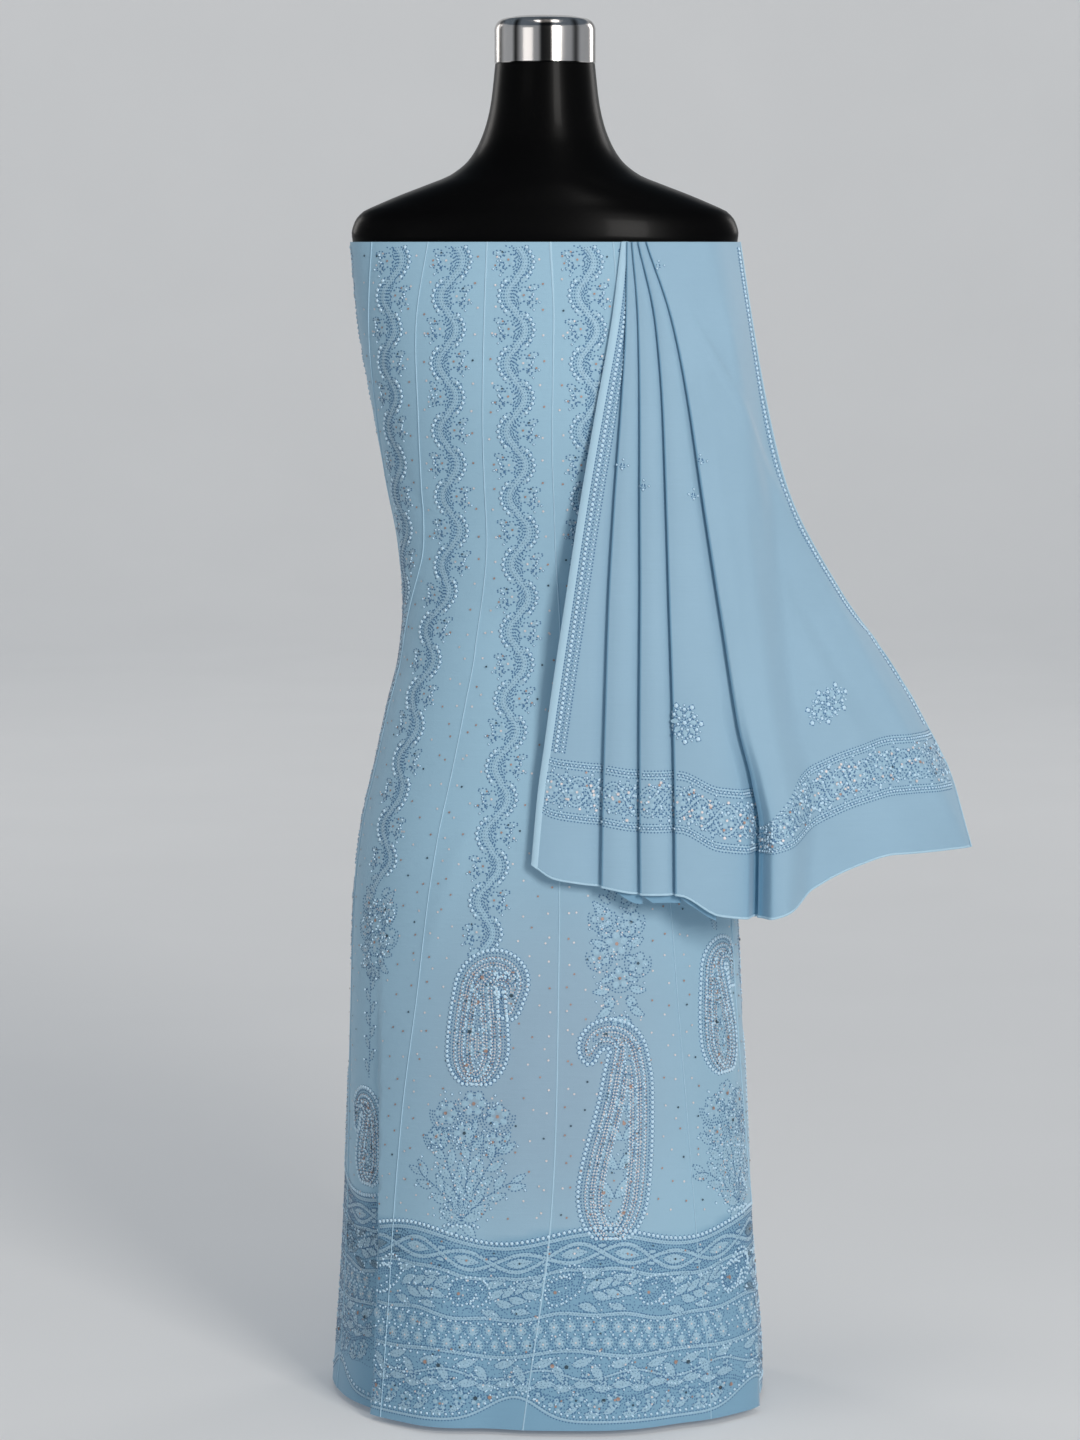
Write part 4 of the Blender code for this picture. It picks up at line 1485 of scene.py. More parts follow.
def make_torso():
    """Build the form's torso and neck on its frame solid."""
    degrees = np.linspace(0, 360, FORM_STEPS, endpoint=False)
    rings = []
    underside = [row[0] for row in UNDERSIDE]
    for height in underside + list(np.arange(TORSO_START, KURTA_TOP - TORSO_GAP, TORSO_STEP)):
        ring = ring_points(degrees, np.full(FORM_STEPS, height), -FORM_INSET - skirt_relief(degrees, height))
        ring[:, :2] *= float(underside_table.at("share", height))
        rings.append(ring)
    heights = np.concatenate([np.arange(*run) for run in SHOULDER_RUNS])
    angles = np.radians(degrees)
    back_depth = float(body_table.at("back", KURTA_TOP)) - FORM_INSET
    for height in list(heights) + [SHOULDERS[-1][0]]:
        x = float(shoulder_table.at("width", height)) * np.sin(angles)
        depth = float(shoulder_table.at("depth", height))
        y = -np.where(np.cos(angles) > 0, depth, min(depth, back_depth)) * np.cos(angles)
        rings.append(np.column_stack([x, y, np.full(FORM_STEPS, height)]))
    item = lofted("form_torso", rings, gloss_black())
    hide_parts("dress_form_torso")
    return item


# Rounding of the cap's rim, bevel at its foot, its crown as shares of the radius
# and depths below the top, and how far the crown rises above the rim
CAP_RIM = 0.012
CAP_BEVEL = 0.001
CAP_CROWN = ((0.6, 0.0014), (0.4, 0.0006), (0.1, 0.0))
CAP_RISE = 0.003


def make_cap():
    """Build the chrome cap on the neck."""
    low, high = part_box("neck_cap")
    radius = high[0]
    profile = [(radius - CAP_BEVEL, low[2]), (radius, low[2] + CAP_BEVEL)]
    for angle in np.linspace(0, math.pi / 2, 12):
        aside, up = polar(CAP_RIM, angle)
        profile.append((radius - CAP_RIM + aside, high[2] - CAP_RISE - CAP_RIM + up))
    profile += [(radius * share, high[2] - depth) for share, depth in CAP_CROWN]
    item = lofted("form_neck_cap", round_rings(profile, 96), chrome())
    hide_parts("neck_cap")
    return item


# Sizes of the stand: its pole, the flange and fillet at either end, the plate's edge
POLE_RADIUS = 0.0125
FLANGE_HEIGHT = 0.006
FILLET_HEIGHT = 0.016
PLATE_EDGE = 0.003


def make_stand():
    """Build the hidden pole and base plate."""
    steel = brushed_steel()
    low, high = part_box("stand_pole")
    flange_radius = high[0]
    pole_radius = POLE_RADIUS
    flange = FLANGE_HEIGHT
    fillet = FILLET_HEIGHT
    half = [(flange_radius, 0.0), (flange_radius, flange), (pole_radius + 0.006, flange + 0.004)]
    for share in np.linspace(0.25, 1, 4):
        half.append((pole_radius + 0.006 * (1 - share) ** 2, flange + 0.004 + (fillet - 0.004) * share))
    profile = [(r, low[2] + z) for r, z in half] + [(r, high[2] - z) for r, z in reversed(half)]
    pole = lofted("stand_upright", round_rings(profile, 64), steel)
    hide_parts("stand_pole")
    low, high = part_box("base_plate")
    edge = PLATE_EDGE
    profile = [
        (high[0] - edge, low[2]),
        (high[0] - edge * 0.3, low[2] + edge * 0.3),
        (high[0], low[2] + edge),
        (high[0], high[2] - 2 * edge),
        (high[0] - edge * 0.3, high[2] - 1.3 * edge),
        (high[0] - edge, high[2] - edge),
        (flange_radius + edge, high[2]),
    ]
    plate = lofted("stand_base", round_rings(profile, 96), steel)
    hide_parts("base_plate")


# Hem band of needlework: height of its top line, its waves, how far it is
# raised where the skirt is tucked, the depth at which the waves have died out,
# the skirt's radius there, and how softly its ground starts.
BAND_TOP = 0.196
BAND_WAVE = 0.008
BAND_PERIOD = 0.190
BAND_TUCK_LIFT = 0.028
BAND_TUCK_START = -98.0
BAND_TUCK_END = -53.6
BAND_TUCK_FADE = 12.0
BAND_STILL = 0.16
BAND_RADIUS = 0.205
BAND_BLUR = 0.006


def tuck_lift(degrees):
    """Return how far the band is raised at some angles."""
    turned = turn_between(degrees, 0.0)
    before = ease((turned - BAND_TUCK_START + BAND_TUCK_FADE) / BAND_TUCK_FADE)
    return BAND_TUCK_LIFT * before * (turned < BAND_TUCK_END)


def band_height(across, drop, degrees):
    """Return the height of a line of the band, a distance below its top line."""
    wave = BAND_WAVE * np.sin(2 * np.pi * across / BAND_PERIOD) * np.clip(1 - drop / BAND_STILL, 0, 1)
    return BAND_TOP + wave - drop + tuck_lift(degrees)


# Columns of cells in a front and a back kali
FRONT_COLUMNS = 26
BACK_KALI_COLUMNS = 32


def kali_heights():
    """Return the heights of the rows of points of the kurta."""
    rows = int((KURTA_TOP - KURTA_HEM) / sizes().cloth_cell)
    return np.linspace(KURTA_HEM, KURTA_TOP, rows + 1)


def kali_grid(seam):
    """Return a kali's rows of heights, its angles in degrees and its outer points."""
    heights = kali_heights()
    columns = FRONT_COLUMNS if seam < FRONT_KALIS else BACK_KALI_COLUMNS
    start = seam_degrees(seam, heights)
    end = seam_degrees(seam + 1, heights)
    half_gap = np.degrees(SEAM_GAP / 2 / body_table.at("front", heights))
    shares = np.linspace(0, 1, columns + 1)
    degrees = (start + half_gap)[:, None] * (1 - shares) + (end - half_gap)[:, None] * shares
    for hem_angle, top_angle, _step, run, top in TUCKS:
        growth = fall(heights, top)
        edge = top_angle + (hem_angle - top_angle) * growth
        for past in (0.0, TUCK_EDGE * math.copysign(1, run)):
            target = edge + past
            target = target + 360 * np.ceil((degrees[:, 0] - target) / 360)
            for row in np.flatnonzero(target < degrees[:, -1]):
                nearest = 1 + np.argmin(np.abs(degrees[row, 1:-1] - target[row]))
                degrees[row, nearest] = target[row]
    degrees.sort(axis=1)
    return heights, degrees, ring_points(degrees, heights[:, None] + 0 * degrees)


def kali_name(seam):
    """Return the frame node's name of a kali, counted round from the left."""
    if seam < FRONT_KALIS:
        return f"kurta_front_kali_{seam + 1}"
    return f"kurta_back_kali_{seam + 1 - FRONT_KALIS}"


def where_band_shaded(degrees, heights, outer):
    """Return where a kali's cloth gets the painted shade of the hem band, a deeper ground."""
    across = np.radians(turn_between(degrees, SEAMS[0][FRONT_SEAM + 1])) * BAND_RADIUS
    line = band_height(across, 0.0, degrees)
    return np.clip((line - outer[..., 2]) / BAND_BLUR + 0.5, 0, 1)


def make_kali(seam):
    """Build one kali of the kurta as a thin shell of cloth."""
    heights, degrees, outer = kali_grid(seam)
    inner = ring_points(degrees, heights[:, None] + 0 * degrees, -CLOTH_WALL)
    node = kali_name(seam)
    item = add_wall(node.replace("kurta_", "cloth_"), outer, inner, georgette())
    # Painted shade of the hem band's dense stitching, kept on the mesh
    share = where_band_shaded(degrees, heights, outer).ravel()
    values = item.data.attributes.new("border", "FLOAT", "POINT")
    values.data.foreach_set("value", np.concatenate([share, share]).astype(np.float32))
    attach(item, BODY)
    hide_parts(node)
    return item


def kali_surface(seam):
    """Return a kali's outer surface, read from its middle line."""
    heights, _degrees, outer = kali_grid(seam)
    return GridSurface(outer, heights, np.full(len(heights), (outer.shape[1] - 1) / 2))


SEAM_HALF_WIDTH = 0.0005
# Lines of points of a seam's ridge: place across, as a share, and height
SEAM_LINES = ((-1, 0.0001), (-0.5, 0.0008), (0, 0.0010), (0.5, 0.0008), (1, 0.0001))


def strip_faces(first, strips, length):
    """Return the faces between lines of points, counted on from a first point."""
    faces = []
    for strip in range(strips):
        for i in range(length - 1):
            a = first + strip * length + i
            faces.append((a, a + length, a + length + 1, a + 1))
    return faces


def make_seams():
    """Build the stitched-down seams between the kalis."""
    heights = kali_heights()
    points = []
    faces = []
    for seam in range(KALIS):
        centre = seam_degrees(seam, heights)
        reach = np.degrees(SEAM_HALF_WIDTH / np.hypot(*ring_points(centre, heights)[:, :2].T))
        faces += strip_faces(len(points) * len(heights), len(SEAM_LINES) - 1, len(heights))
        for side, raised in SEAM_LINES:
            points.append(ring_points(centre + side * reach, heights, raised))
    item = joined_mesh("kurta_seams", np.concatenate(points), faces, edging_cloth())
    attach(item, BODY)
    return item


# Columns of the dupatta's mesh in one run forwards, turn, run back and wing
RUN_COLUMNS = 22
TURN_COLUMNS = 5
BACK_COLUMNS = 8
WING_COLUMNS = 84
DUPATTA_ROWS = 98
PLEAT_BULGE = 0.0030
PLEAT_TUCK = 0.0030
PLEAT_WIDE = 0.03
# Painted shade: how dark the layers folded under, the pleats beside each fold and the valley beside the wing
# are painted, and how far it reaches
UNDER_SHADE = 0.55
FOLD_SHADE = 0.44
FOLD_SHADE_WIDTH = 0.0028
VALLEY_SHADE = 0.85
VALLEY_SHADE_WIDTH = 0.014


def layer_pitch(down):
    """Return the distance from one layer to the next, from the top edge down."""
    return LAYER_PITCH_TOP + (LAYER_PITCH_HEM - LAYER_PITCH_TOP) * down


def valley_share(down):
    """Return how far the valley beside the wing has opened, from the top edge down."""
    return float(ease((down - VALLEY_START) / VALLEY_GROWTH))


def turn_layers(x, level, bulge):
    """Return the places and layers of a turn from one layer up to the next."""
    angles = math.pi * np.arange(1, TURN_COLUMNS + 1) / (TURN_COLUMNS + 1)
    return x + bulge * np.sin(angles), level + (1 - np.cos(angles)) / 2


# Layers hidden behind the first to the last fold hang lower, by this much. The
# drop grows in over a length behind each fold, and from a place across onwards.
HIDDEN_DROPS = (0.0095, 0.0075, 0.0050, 0.0)
DROP_REACH = 0.010
DROP_START = 0.060
DROP_GROWTH = 0.030


def hidden_drop(x, fold, folded):
    """Return how much lower hidden places hang than the pleat in front of them."""
    grown = ease((x - folded) / DROP_REACH) * ease((x - DROP_START) / DROP_GROWTH)
    return HIDDEN_DROPS[fold - 1] * grown


def dupatta_row(down):
    """Return one row of the sheet: places across, layers, bulges, hidden drops, sections.

    Sections are numbered: 0, 2, 4 and 6 are the pleats' fronts, 8 is the wing,
    and odd numbers are folded under.
    """
    height = KURTA_TOP + (DUPATTA_LOWEST_ROW - KURTA_TOP) * down
    underlap = UNDERLAP_TOP + (UNDERLAP_HEM - UNDERLAP_TOP) * down
    pitch = layer_pitch(down)
    start = float(dupatta_table.at("left", height))
    dip = VALLEY_LAYERS * valley_share(down)
    level = 0.0
    parts = []
    for fold in range(1, DUPATTA_FOLDS + 1):
        under_fold = 2 * fold - 1
        folded = float(dupatta_table.at(f"fold_{fold}", height))
        under = underlap if fold < DUPATTA_FOLDS else underlap * (1 - LAST_UNDERLAP_CUT * down)
        x = np.linspace(start, folded + under, RUN_COLUMNS)
        layers = np.full(RUN_COLUMNS, level)
        if fold == DUPATTA_FOLDS:
            clear = max(start + underlap + VALLEY_MARGIN, folded - VALLEY_WIDTH)
            clear = min(clear, folded - min(VALLEY_LEAST_WIDTH, (folded - start) / 2))
            bottom = folded - min(VALLEY_MARGIN, (folded - start) / 4)
            runs = (np.linspace(start, clear, 12), np.linspace(clear, bottom, 9)[1:])
            x = np.concatenate([*runs, [(bottom + folded + under) / 2, folded + under]])
            layers = layers - dip * ease((x - clear) / (bottom - clear))
            level -= dip
        width = folded - start
        seen = np.clip((x - start) / max(width, 0.001), 0, 1)
        grown = min(width / PLEAT_WIDE, 1.0)
        bulge = PLEAT_BULGE * np.sin(np.pi * seen**0.8) * grown
        bulge = bulge - PLEAT_TUCK * ease((seen - 0.70) / 0.3) * grown
        parts.append((x, layers, bulge, hidden_drop(x, fold, folded), under_fold - 1))
        x, layers = turn_layers(folded + under, level, pitch / 2)
        parts.append((x, layers, 0 * x, hidden_drop(x, fold, folded), under_fold))
        x = np.linspace(folded + under, folded, BACK_COLUMNS)
        layers = np.full(BACK_COLUMNS, level + 1.0)
        parts.append((x, layers, 0 * x, hidden_drop(x, fold, folded), under_fold))
        x, layers = turn_layers(folded, level + 1, -pitch / 2)
        parts.append((x, layers, 0 * x, 0 * x, under_fold))
        start = folded
        level += 2
    right = float(dupatta_table.at("right", height))
    crest = start + WING_RISE
    x = np.concatenate([np.linspace(start, crest, 8)[:-1], np.linspace(crest, right, WING_COLUMNS - 7)])
    raised = level + dip * ease((x - start) / WING_RISE)
    parts.append((x, raised * (1 - ease((x - start - under) / WING_SETTLE)), 0 * x, 0 * x, WING_SECTION))
    columns = [np.concatenate([part[i] for part in parts]) for i in range(4)]
    sections = np.concatenate([np.full(len(part[0]), part[4]) for part in parts])
    return (*columns, sections)


# Soft folds of the wing, listed one by one: where they start at the top and end
# below, as places across and heights, how far they stand out and their width.
WING_FOLDS = (
    ((0.116, 1.115), (0.250, 0.870), 0.0024, 0.0065),
    ((0.135, 1.080), (0.205, 0.600), 0.0022, 0.012),
    ((0.170, 1.000), (0.262, 0.590), -0.0020, 0.014),
    ((0.215, 0.860), (0.335, 0.600), 0.0024, 0.016),
    ((0.238, 0.820), (0.385, 0.590), -0.0016, 0.014),
    ((0.160, 1.120), (0.195, 0.930), 0.0014, 0.009),
)


def ridge_relief(x, height):
    """Return how far the wing's long ridge stands out."""
    away = (x - ridge_table.at("across", height)) / RIDGE_WIDTH
    fades = ease((height - RIDGE[0][0]) / RIDGE_GROWTH) * ease((KURTA_TOP - height) / RIDGE_END)
    return RIDGE_RAISED * fades * np.exp(-away * away)


def wing_relief(x, height):
    """Return how far the wing's soft folds stand out."""
    relief = np.zeros(len(x))
    for top, low, raised, width in WING_FOLDS:
        share = (top[1] - height) / (top[1] - low[1])
        centre = top[0] + (low[0] - top[0]) * share
        away = (x - centre) / (width * (0.5 + 0.8 * np.clip(share, 0, 1)))
        relief = relief + raised * ease(share / 0.3) * np.exp(-away * away)
    return relief


def dupatta_grid():
    """Return the dupatta's middle points, thickness directions and sections, from the hem up."""
    middle = []
    walls = []
    downs = np.linspace(1, 0, DUPATTA_ROWS)
    for down in downs:
        x, layers, bulge, drops, sections = dupatta_row(down)
        hem = hem_table.at("height", x) - drops
        height = KURTA_TOP + (hem - KURTA_TOP) * down
        spread = dupatta_table.at("spread", height)
        depth = dupatta_table.at("front", height)
        power = body_table.at("squareness", height)
        share = np.minimum(np.abs(x) / spread, 0.9995)
        y = -depth * (1 - share**power) ** (1 / power)
        out = np.stack([x / spread**2, y / depth**2], axis=1)
        out /= np.linalg.norm(out, axis=1)[:, None]
        relief = ridge_relief(x, height) + np.where(sections == WING_SECTION, wing_relief(x, height), 0.0)
        lift = FRAME_WALL / 2 + DUPATTA_GAP + layers * layer_pitch(down) + relief + bulge
        points = np.column_stack([x + out[:, 0] * lift, y + out[:, 1] * lift, height])
        along = np.gradient(points[:, :2], axis=0)
        along /= np.linalg.norm(along, axis=1)[:, None]
        middle.append(points)
        walls.append(np.column_stack([along[:, 1], -along[:, 0], np.zeros(len(along))]))
    return np.array(middle), np.array(walls), sections


def dupatta_surface():
    """Return the dupatta's face as a surface, read from its left edge and hem."""
    middle, walls, sections = dupatta_grid()
    face = middle + walls * DUPATTA_WALL / 2
    column = middle[:, RUN_COLUMNS // 2]
    steps = np.linalg.norm(np.diff(column, axis=0), axis=1)
    ups = np.concatenate([[0.0], np.cumsum(steps)])
    return GridSurface(face, ups, np.zeros(len(ups))), sections


def fold_shade():
    """Return how much painted shade each point of the dupatta's rows gets, from 0 to 1, deeper in a fold."""
    shades = []
    for down in np.linspace(1, 0, DUPATTA_ROWS):
        x, _layers, _bulge, _drops, sections = dupatta_row(down)
        shade = np.where(sections % 2 == 1, UNDER_SHADE, 0.0)
        for fold in range(DUPATTA_FOLDS):
            front = sections == 2 * fold
            folded = x[sections == 2 * fold + 2][0]
            depth = np.exp(-np.abs(np.minimum(x - folded, 0.0)) / FOLD_SHADE_WIDTH)
            shade = np.where(front, FOLD_SHADE * depth * (0.55 + 0.45 * down), shade)
        deepest = VALLEY_SHADE * valley_share(down)
        away = np.abs(x - folded)
        valley = np.maximum(shade, deepest * np.exp(-away / VALLEY_SHADE_WIDTH))
        shade = np.where(sections == WING_SECTION - 2, valley, shade)
        shade = np.where(sections == WING_SECTION, deepest * np.exp(-away / (VALLEY_SHADE_WIDTH / 3)), shade)
        shades.append(shade)
    return np.array(shades)


def make_dupatta():
    """Build the pleated dupatta as one thin shell of cloth."""
    middle, walls, _sections = dupatta_grid()
    half = walls * DUPATTA_WALL / 2
    item = add_wall("dupatta_cloth", middle + half, middle - half, chiffon())
    shade = np.tile(fold_shade().ravel(), 2).astype(np.float32)
    item.data.attributes.new("fold_shade", "FLOAT", "POINT").data.foreach_set("value", shade)
    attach(item, BODY)
    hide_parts("dupatta")
    return item


# The kalis in front and behind, by number
KALI_SIDES = (("front", range(FRONT_KALIS)), ("back", range(FRONT_KALIS, KALIS)))
# Height at which each kali's vine ends, and how far it keeps off the seams
VINE_ENDS = (0.52, 0.52, 0.470, 0.522, 0.485, 0.47, 0.467, 0.500, 0.467, 0.500)
VINE_MARGIN = 0.0035


def make_vines():
    """Sew a vine down the middle of every kali, in front and behind."""
    for part, seams in KALI_SIDES:
        draws = np.random.default_rng(sizes().seed + len(part))
        sewing = Sewing(draws)
        for seam in seams:
            work = vine(VINE_ENDS[seam], KURTA_TOP - 0.003, draws)
            sewing.sew(work, kali_surface(seam), VINE_MARGIN)
        sewing.finish(f"vines_{part}")


# Sizes of the paisleys: height, width, radius of the hook, length of its tail,
# share of the width at the neck, lean, and nested rows of filling.
PAISLEYS = {
    "tall": (0.230, 0.071, 0.0195, 0.006, 0.68, 0.025, 9),
    "round": (0.136, 0.061, 0.0165, 0.030, 0.74, 0.006, 10),
    "small": (0.100, 0.052, 0.0140, 0.018, 0.60, 0.004, 7),
    "side": (0.140, 0.062, 0.0170, 0.020, 0.56, 0.006, 8),
}

# Motifs below each vine: kind, place across, height of the foot, height, width, mirrored.
PANEL_MOTIFS = (
    (("cluster", 0, 0.445, 0.070, 0.056, False), ("small", 0, 0.232, 0, 0, False)),
    (
        ("cluster", 0, 0.445, 0.072, 0.056, False),
        ("twig", 0, 0.335, 0.110, 0.014, False),
        ("small", 0, 0.226, 0, 0, False),
    ),
    (("round", 0.006, 0.340, 0, 0, True), ("bouquet", 0.004, 0.203, 0.132, 0.082, False)),
    (("cluster", -0.004, 0.404, 0.112, 0.060, False), ("tall", -0.024, 0.187, 0, 0, False)),
    (("side", 0.010, 0.340, 0, 0, True), ("bouquet", 0.010, 0.206, 0.126, 0.076, True)),
    (("cluster", 0, 0.395, 0.080, 0.056, True), ("side", 0, 0.232, 0, 0, True)),
    (("round", 0, 0.340, 0, 0, False), ("bouquet", 0, 0.206, 0.126, 0.082, True)),
    (("cluster", 0, 0.405, 0.090, 0.060, False), ("tall", 0, 0.186, 0, 0, False)),
    (("round", 0, 0.340, 0, 0, True), ("bouquet", 0, 0.206, 0.126, 0.082, False)),
    (("cluster", 0, 0.405, 0.090, 0.060, True), ("tall", 0, 0.186, 0, 0, True)),
)


def panel_motif(kind, height, width, draws):
    """Return one motif of the panels, standing on its foot."""
    if kind == "bouquet":
        return bouquet(height, width, draws)
    if kind == "cluster":
        return cluster(height, width, draws)
    if kind == "twig":
        motif = Needlework()
        motif.place(branch(height, 9, width, 0.05), 0.0, 0.0, math.pi / 2)
        return motif
    return paisley(*PAISLEYS[kind], draws)


def make_panel_motifs():
    """Sew the paisleys, bunches and sprays below the vines."""
    for part, seams in KALI_SIDES:
        draws = np.random.default_rng(sizes().seed + 5 * len(part))
        sewing = Sewing(draws)
        for seam in seams:
            work = Needlework()
            for kind, across, foot, height, width, flip in PANEL_MOTIFS[seam]:
                work.place(panel_motif(kind, height, width, draws), across, foot, flip=flip)
            sewing.sew(work, kali_surface(seam))
        sewing.finish(f"panel_motifs_{part}")


# Steps round the skirt where the hem band is laid, and the top of that surface
SKIRT_STEPS = 420
SKIRT_TOP = 0.24


def skirt_surface():
    """Return the lower skirt as one surface, read from the front seam, and its angles."""
    heights = np.linspace(KURTA_HEM, SKIRT_TOP, 40)
    centre = seam_degrees(FRONT_SEAM, heights)
    degrees = centre[:, None] + np.linspace(-180, 180, SKIRT_STEPS + 1)[None]
    outer = ring_points(degrees, heights[:, None] + 0 * degrees)
    return GridSurface(outer, heights, np.full(len(heights), SKIRT_STEPS / 2)), degrees


def lying_paisley():
    """Return a small paisley with a knotted rim and a coil inside."""
    work = Needlework()
    shape = PaisleyShape(0.040, 0.026, 0.0082, 0.006, 0.52, 0.003)
    work.knotted(shape.outline(0.0), KNOT_PITCH, 0.82)
    for inset in (0.0032, 0.0058, 0.0084):
        line = shape.outline(inset)
        if line is not None:
            work.dotted(line)
    work.sequin(0.0005, 0.0100, 0.0036, 1)
    work.knot(0.0018, 0.0200, 0.7)
    return work


def petal_cell(size):
    """Return one round petal cell with a small sequin in its middle."""
    work = Needlework()
    work.dotted(arc(0.0, 0.0, size * 0.48, -60, 240, 12))
    work.dotted(arc(0.0, 0.0, size * 0.27, -60, 240, 8))
    work.pad(0.0, -size * 0.02, math.pi / 2, size * 0.80, size * 0.70)
    work.sequin(0.0, 0.0, TINY_SEQUIN, 0)
    work.knot(-size * 0.5, size * 0.44, 0.72)
    work.knot(-size * 0.5, -size * 0.30, 0.62)
    return work


# Raised stems of the hem band: drop below its top, height and length of its
# wave, where the wave starts, its width and its number of dotted lines.
BAND_STEMS = (
    (0.0052, 0.0, 0.1, 0.0, 0.0046, 3),
    (0.0215, 0.0088, 0.105, 0.0, 0.0050, 2),
    (0.0215, 0.0088, 0.105, math.pi, 0.0050, 2),
    (0.0372, 0.0012, 0.060, 0.0, 0.0048, 3),
    (0.0790, 0.0016, 0.070, 0.0, 0.0046, 3),
    (0.1155, 0.0024, 0.120, 0.0, 0.0048, 3),
    (0.1360, 0.0050, 0.094, 1.0, 0.0030, 2),
    (0.1545, 0.0040, 0.070, 2.0, 0.0030, 2),
)
# Rows of small knots: drop below the band's top, pitch and scale
BAND_KNOTS = ((0.0832, 0.0074, 0.72), (0.0980, 0.0074, 0.72), (0.1200, 0.0082, 0.75), (0.0412, 0.0094, 0.72))
BAND_MIDDLE = 0.10
BAND_UNIT = 0.094
BAND_LENS = 0.0525
PETAL_PITCH = 0.0158
LEAF_PITCH = 0.0190
GROUND_PITCH = 0.0043
GROUND_JITTER = 0.0014
# Depths below the band's top, of the middle lines of its rows and of the upper
# edge of the leaves' row, and the length after which the large sequins repeat
CROSSING_DROP = 0.0215
PAISLEY_DROP = 0.0575
LEAF_DROP = 0.1210
PETAL_DROPS = (0.0900, 0.1060)
SEQUIN_UNIT = 0.126


def crossing_row(start, end):
    """Return the row of eye leaves and arches between the crossing stems."""
    work = Needlework()
    for i in cells(start, end, BAND_LENS):
        x = (i + 0.5) * BAND_LENS
        work.place(leaf(0.028, 0.0110), x - 0.014, -CROSSING_DROP)
        work.sequin(x, -CROSSING_DROP, 0.0024, i % 3)
        for side in (-1, 1):
            for step in range(3):
                bow = np.linspace(-0.0195 + 0.004 * step, 0.0195 - 0.004 * step, 10)
                rise = 0.0140 - 0.0028 * step - 20 * bow**2
                work.dotted(np.column_stack([x + BAND_LENS / 2 + bow, -CROSSING_DROP + side * rise]))
            up = -CROSSING_DROP + side * 0.0050
            work.place(leaf(0.012, 0.0050), x + BAND_LENS / 2 - 0.006, up, side * 0.1)
            up = -CROSSING_DROP + side * 0.0115
            work.sequin(x + BAND_LENS / 2, up, TINY_SEQUIN, (i + side) % 3)
    return work


def paisley_row(start, end, draws):
    """Return the row of lying paisleys and leafy branches."""
    work = Needlework()
    for i, x in enumerate(np.arange(math.floor(start / BAND_UNIT) * BAND_UNIT, end, BAND_UNIT)):
        work.place(lying_paisley(), x + 0.003, -0.0600, -1.15, flip=i % 2 == 0)
        twig = branch(0.044, 7, 0.0200, 0.08, 0.46)
        work.place(twig, x + 0.040, -0.0600, 0.10 + draws.uniform(-0.08, 0.08))
        for side in (-1, 1):
            up = -PAISLEY_DROP + side * 0.0135
            work.place(leaf(0.0220, 0.0092, 0.3 * side), x + 0.036, up, 0.05 * side)
            up = -PAISLEY_DROP + side * 0.0140
            work.place(leaf(0.0190, 0.0084, 0.3 * side), x + 0.066, up, -0.15 * side)
        for rise in (-0.0172, 0.0172):
            for step in range(6):
                petal = arc(x + BAND_UNIT * (step + 0.5) / 6, -PAISLEY_DROP + rise, 0.0062, 20, 160, 6)
                work.dotted(petal if rise < 0 else petal * (1, -1) + (0, -0.0806))
        for _j in range(22):
            across = x + draws.uniform(0.0, BAND_UNIT)
            work.knot(across, -PAISLEY_DROP + draws.uniform(-0.018, 0.018), 0.66)
    return work


# Large sequins of the lowest row, once in each unit: across, depth and tone
LARGE_SEQUINS = ((0.020, 0.1270, 1), (0.034, 0.1285, 2), (0.075, 0.1600, 2), (0.089, 0.1590, 1))


def leaf_row(start, end, draws):
    """Return the lowest row of leaves, flowers and sequins."""
    work = Needlework()
    for i in cells(start, end, LEAF_PITCH, whole=True):
        x = i * LEAF_PITCH
        side = 1 if i % 2 == 0 else -1
        work.place(leaf(0.0235, 0.0100, 0.35 * side), x, -0.1265, -0.30 + 0.30 * side)
        work.place(leaf(0.0225, 0.0098, -0.30 * side), x + 0.004, -0.1465, 0.32 * side)
        work.place(sprig(0.0090, 3, 110), x + 0.014, -0.1400, 0.9 * side)
        work.place(flower(0.0088, 5, i % 3), x + 0.010, -0.1630 + 0.003 * side)
        work.place(leaf(0.0170, 0.0078, 0.2), x, -0.1735, 0.1 + 0.3 * side)
        for _j in range(7):
            across = x + draws.uniform(0.0, LEAF_PITCH)
            work.knot(across, -LEAF_DROP - draws.uniform(0.0, 0.055), 0.68)
        for _j in range(2):
            tone = int(draws.choice(3, p=SEQUIN_TONES))
            across = x + draws.uniform(0.0, LEAF_PITCH)
            work.sequin(across, -LEAF_DROP - draws.uniform(0.0, 0.050), SMALL_SEQUIN, tone)
    for x in np.arange(math.ceil(start / SEQUIN_UNIT) * SEQUIN_UNIT, end, SEQUIN_UNIT):
        for aside, drop, tone in LARGE_SEQUINS:
            work.sequin(x + aside, -drop, 0.0044, tone)
    return work


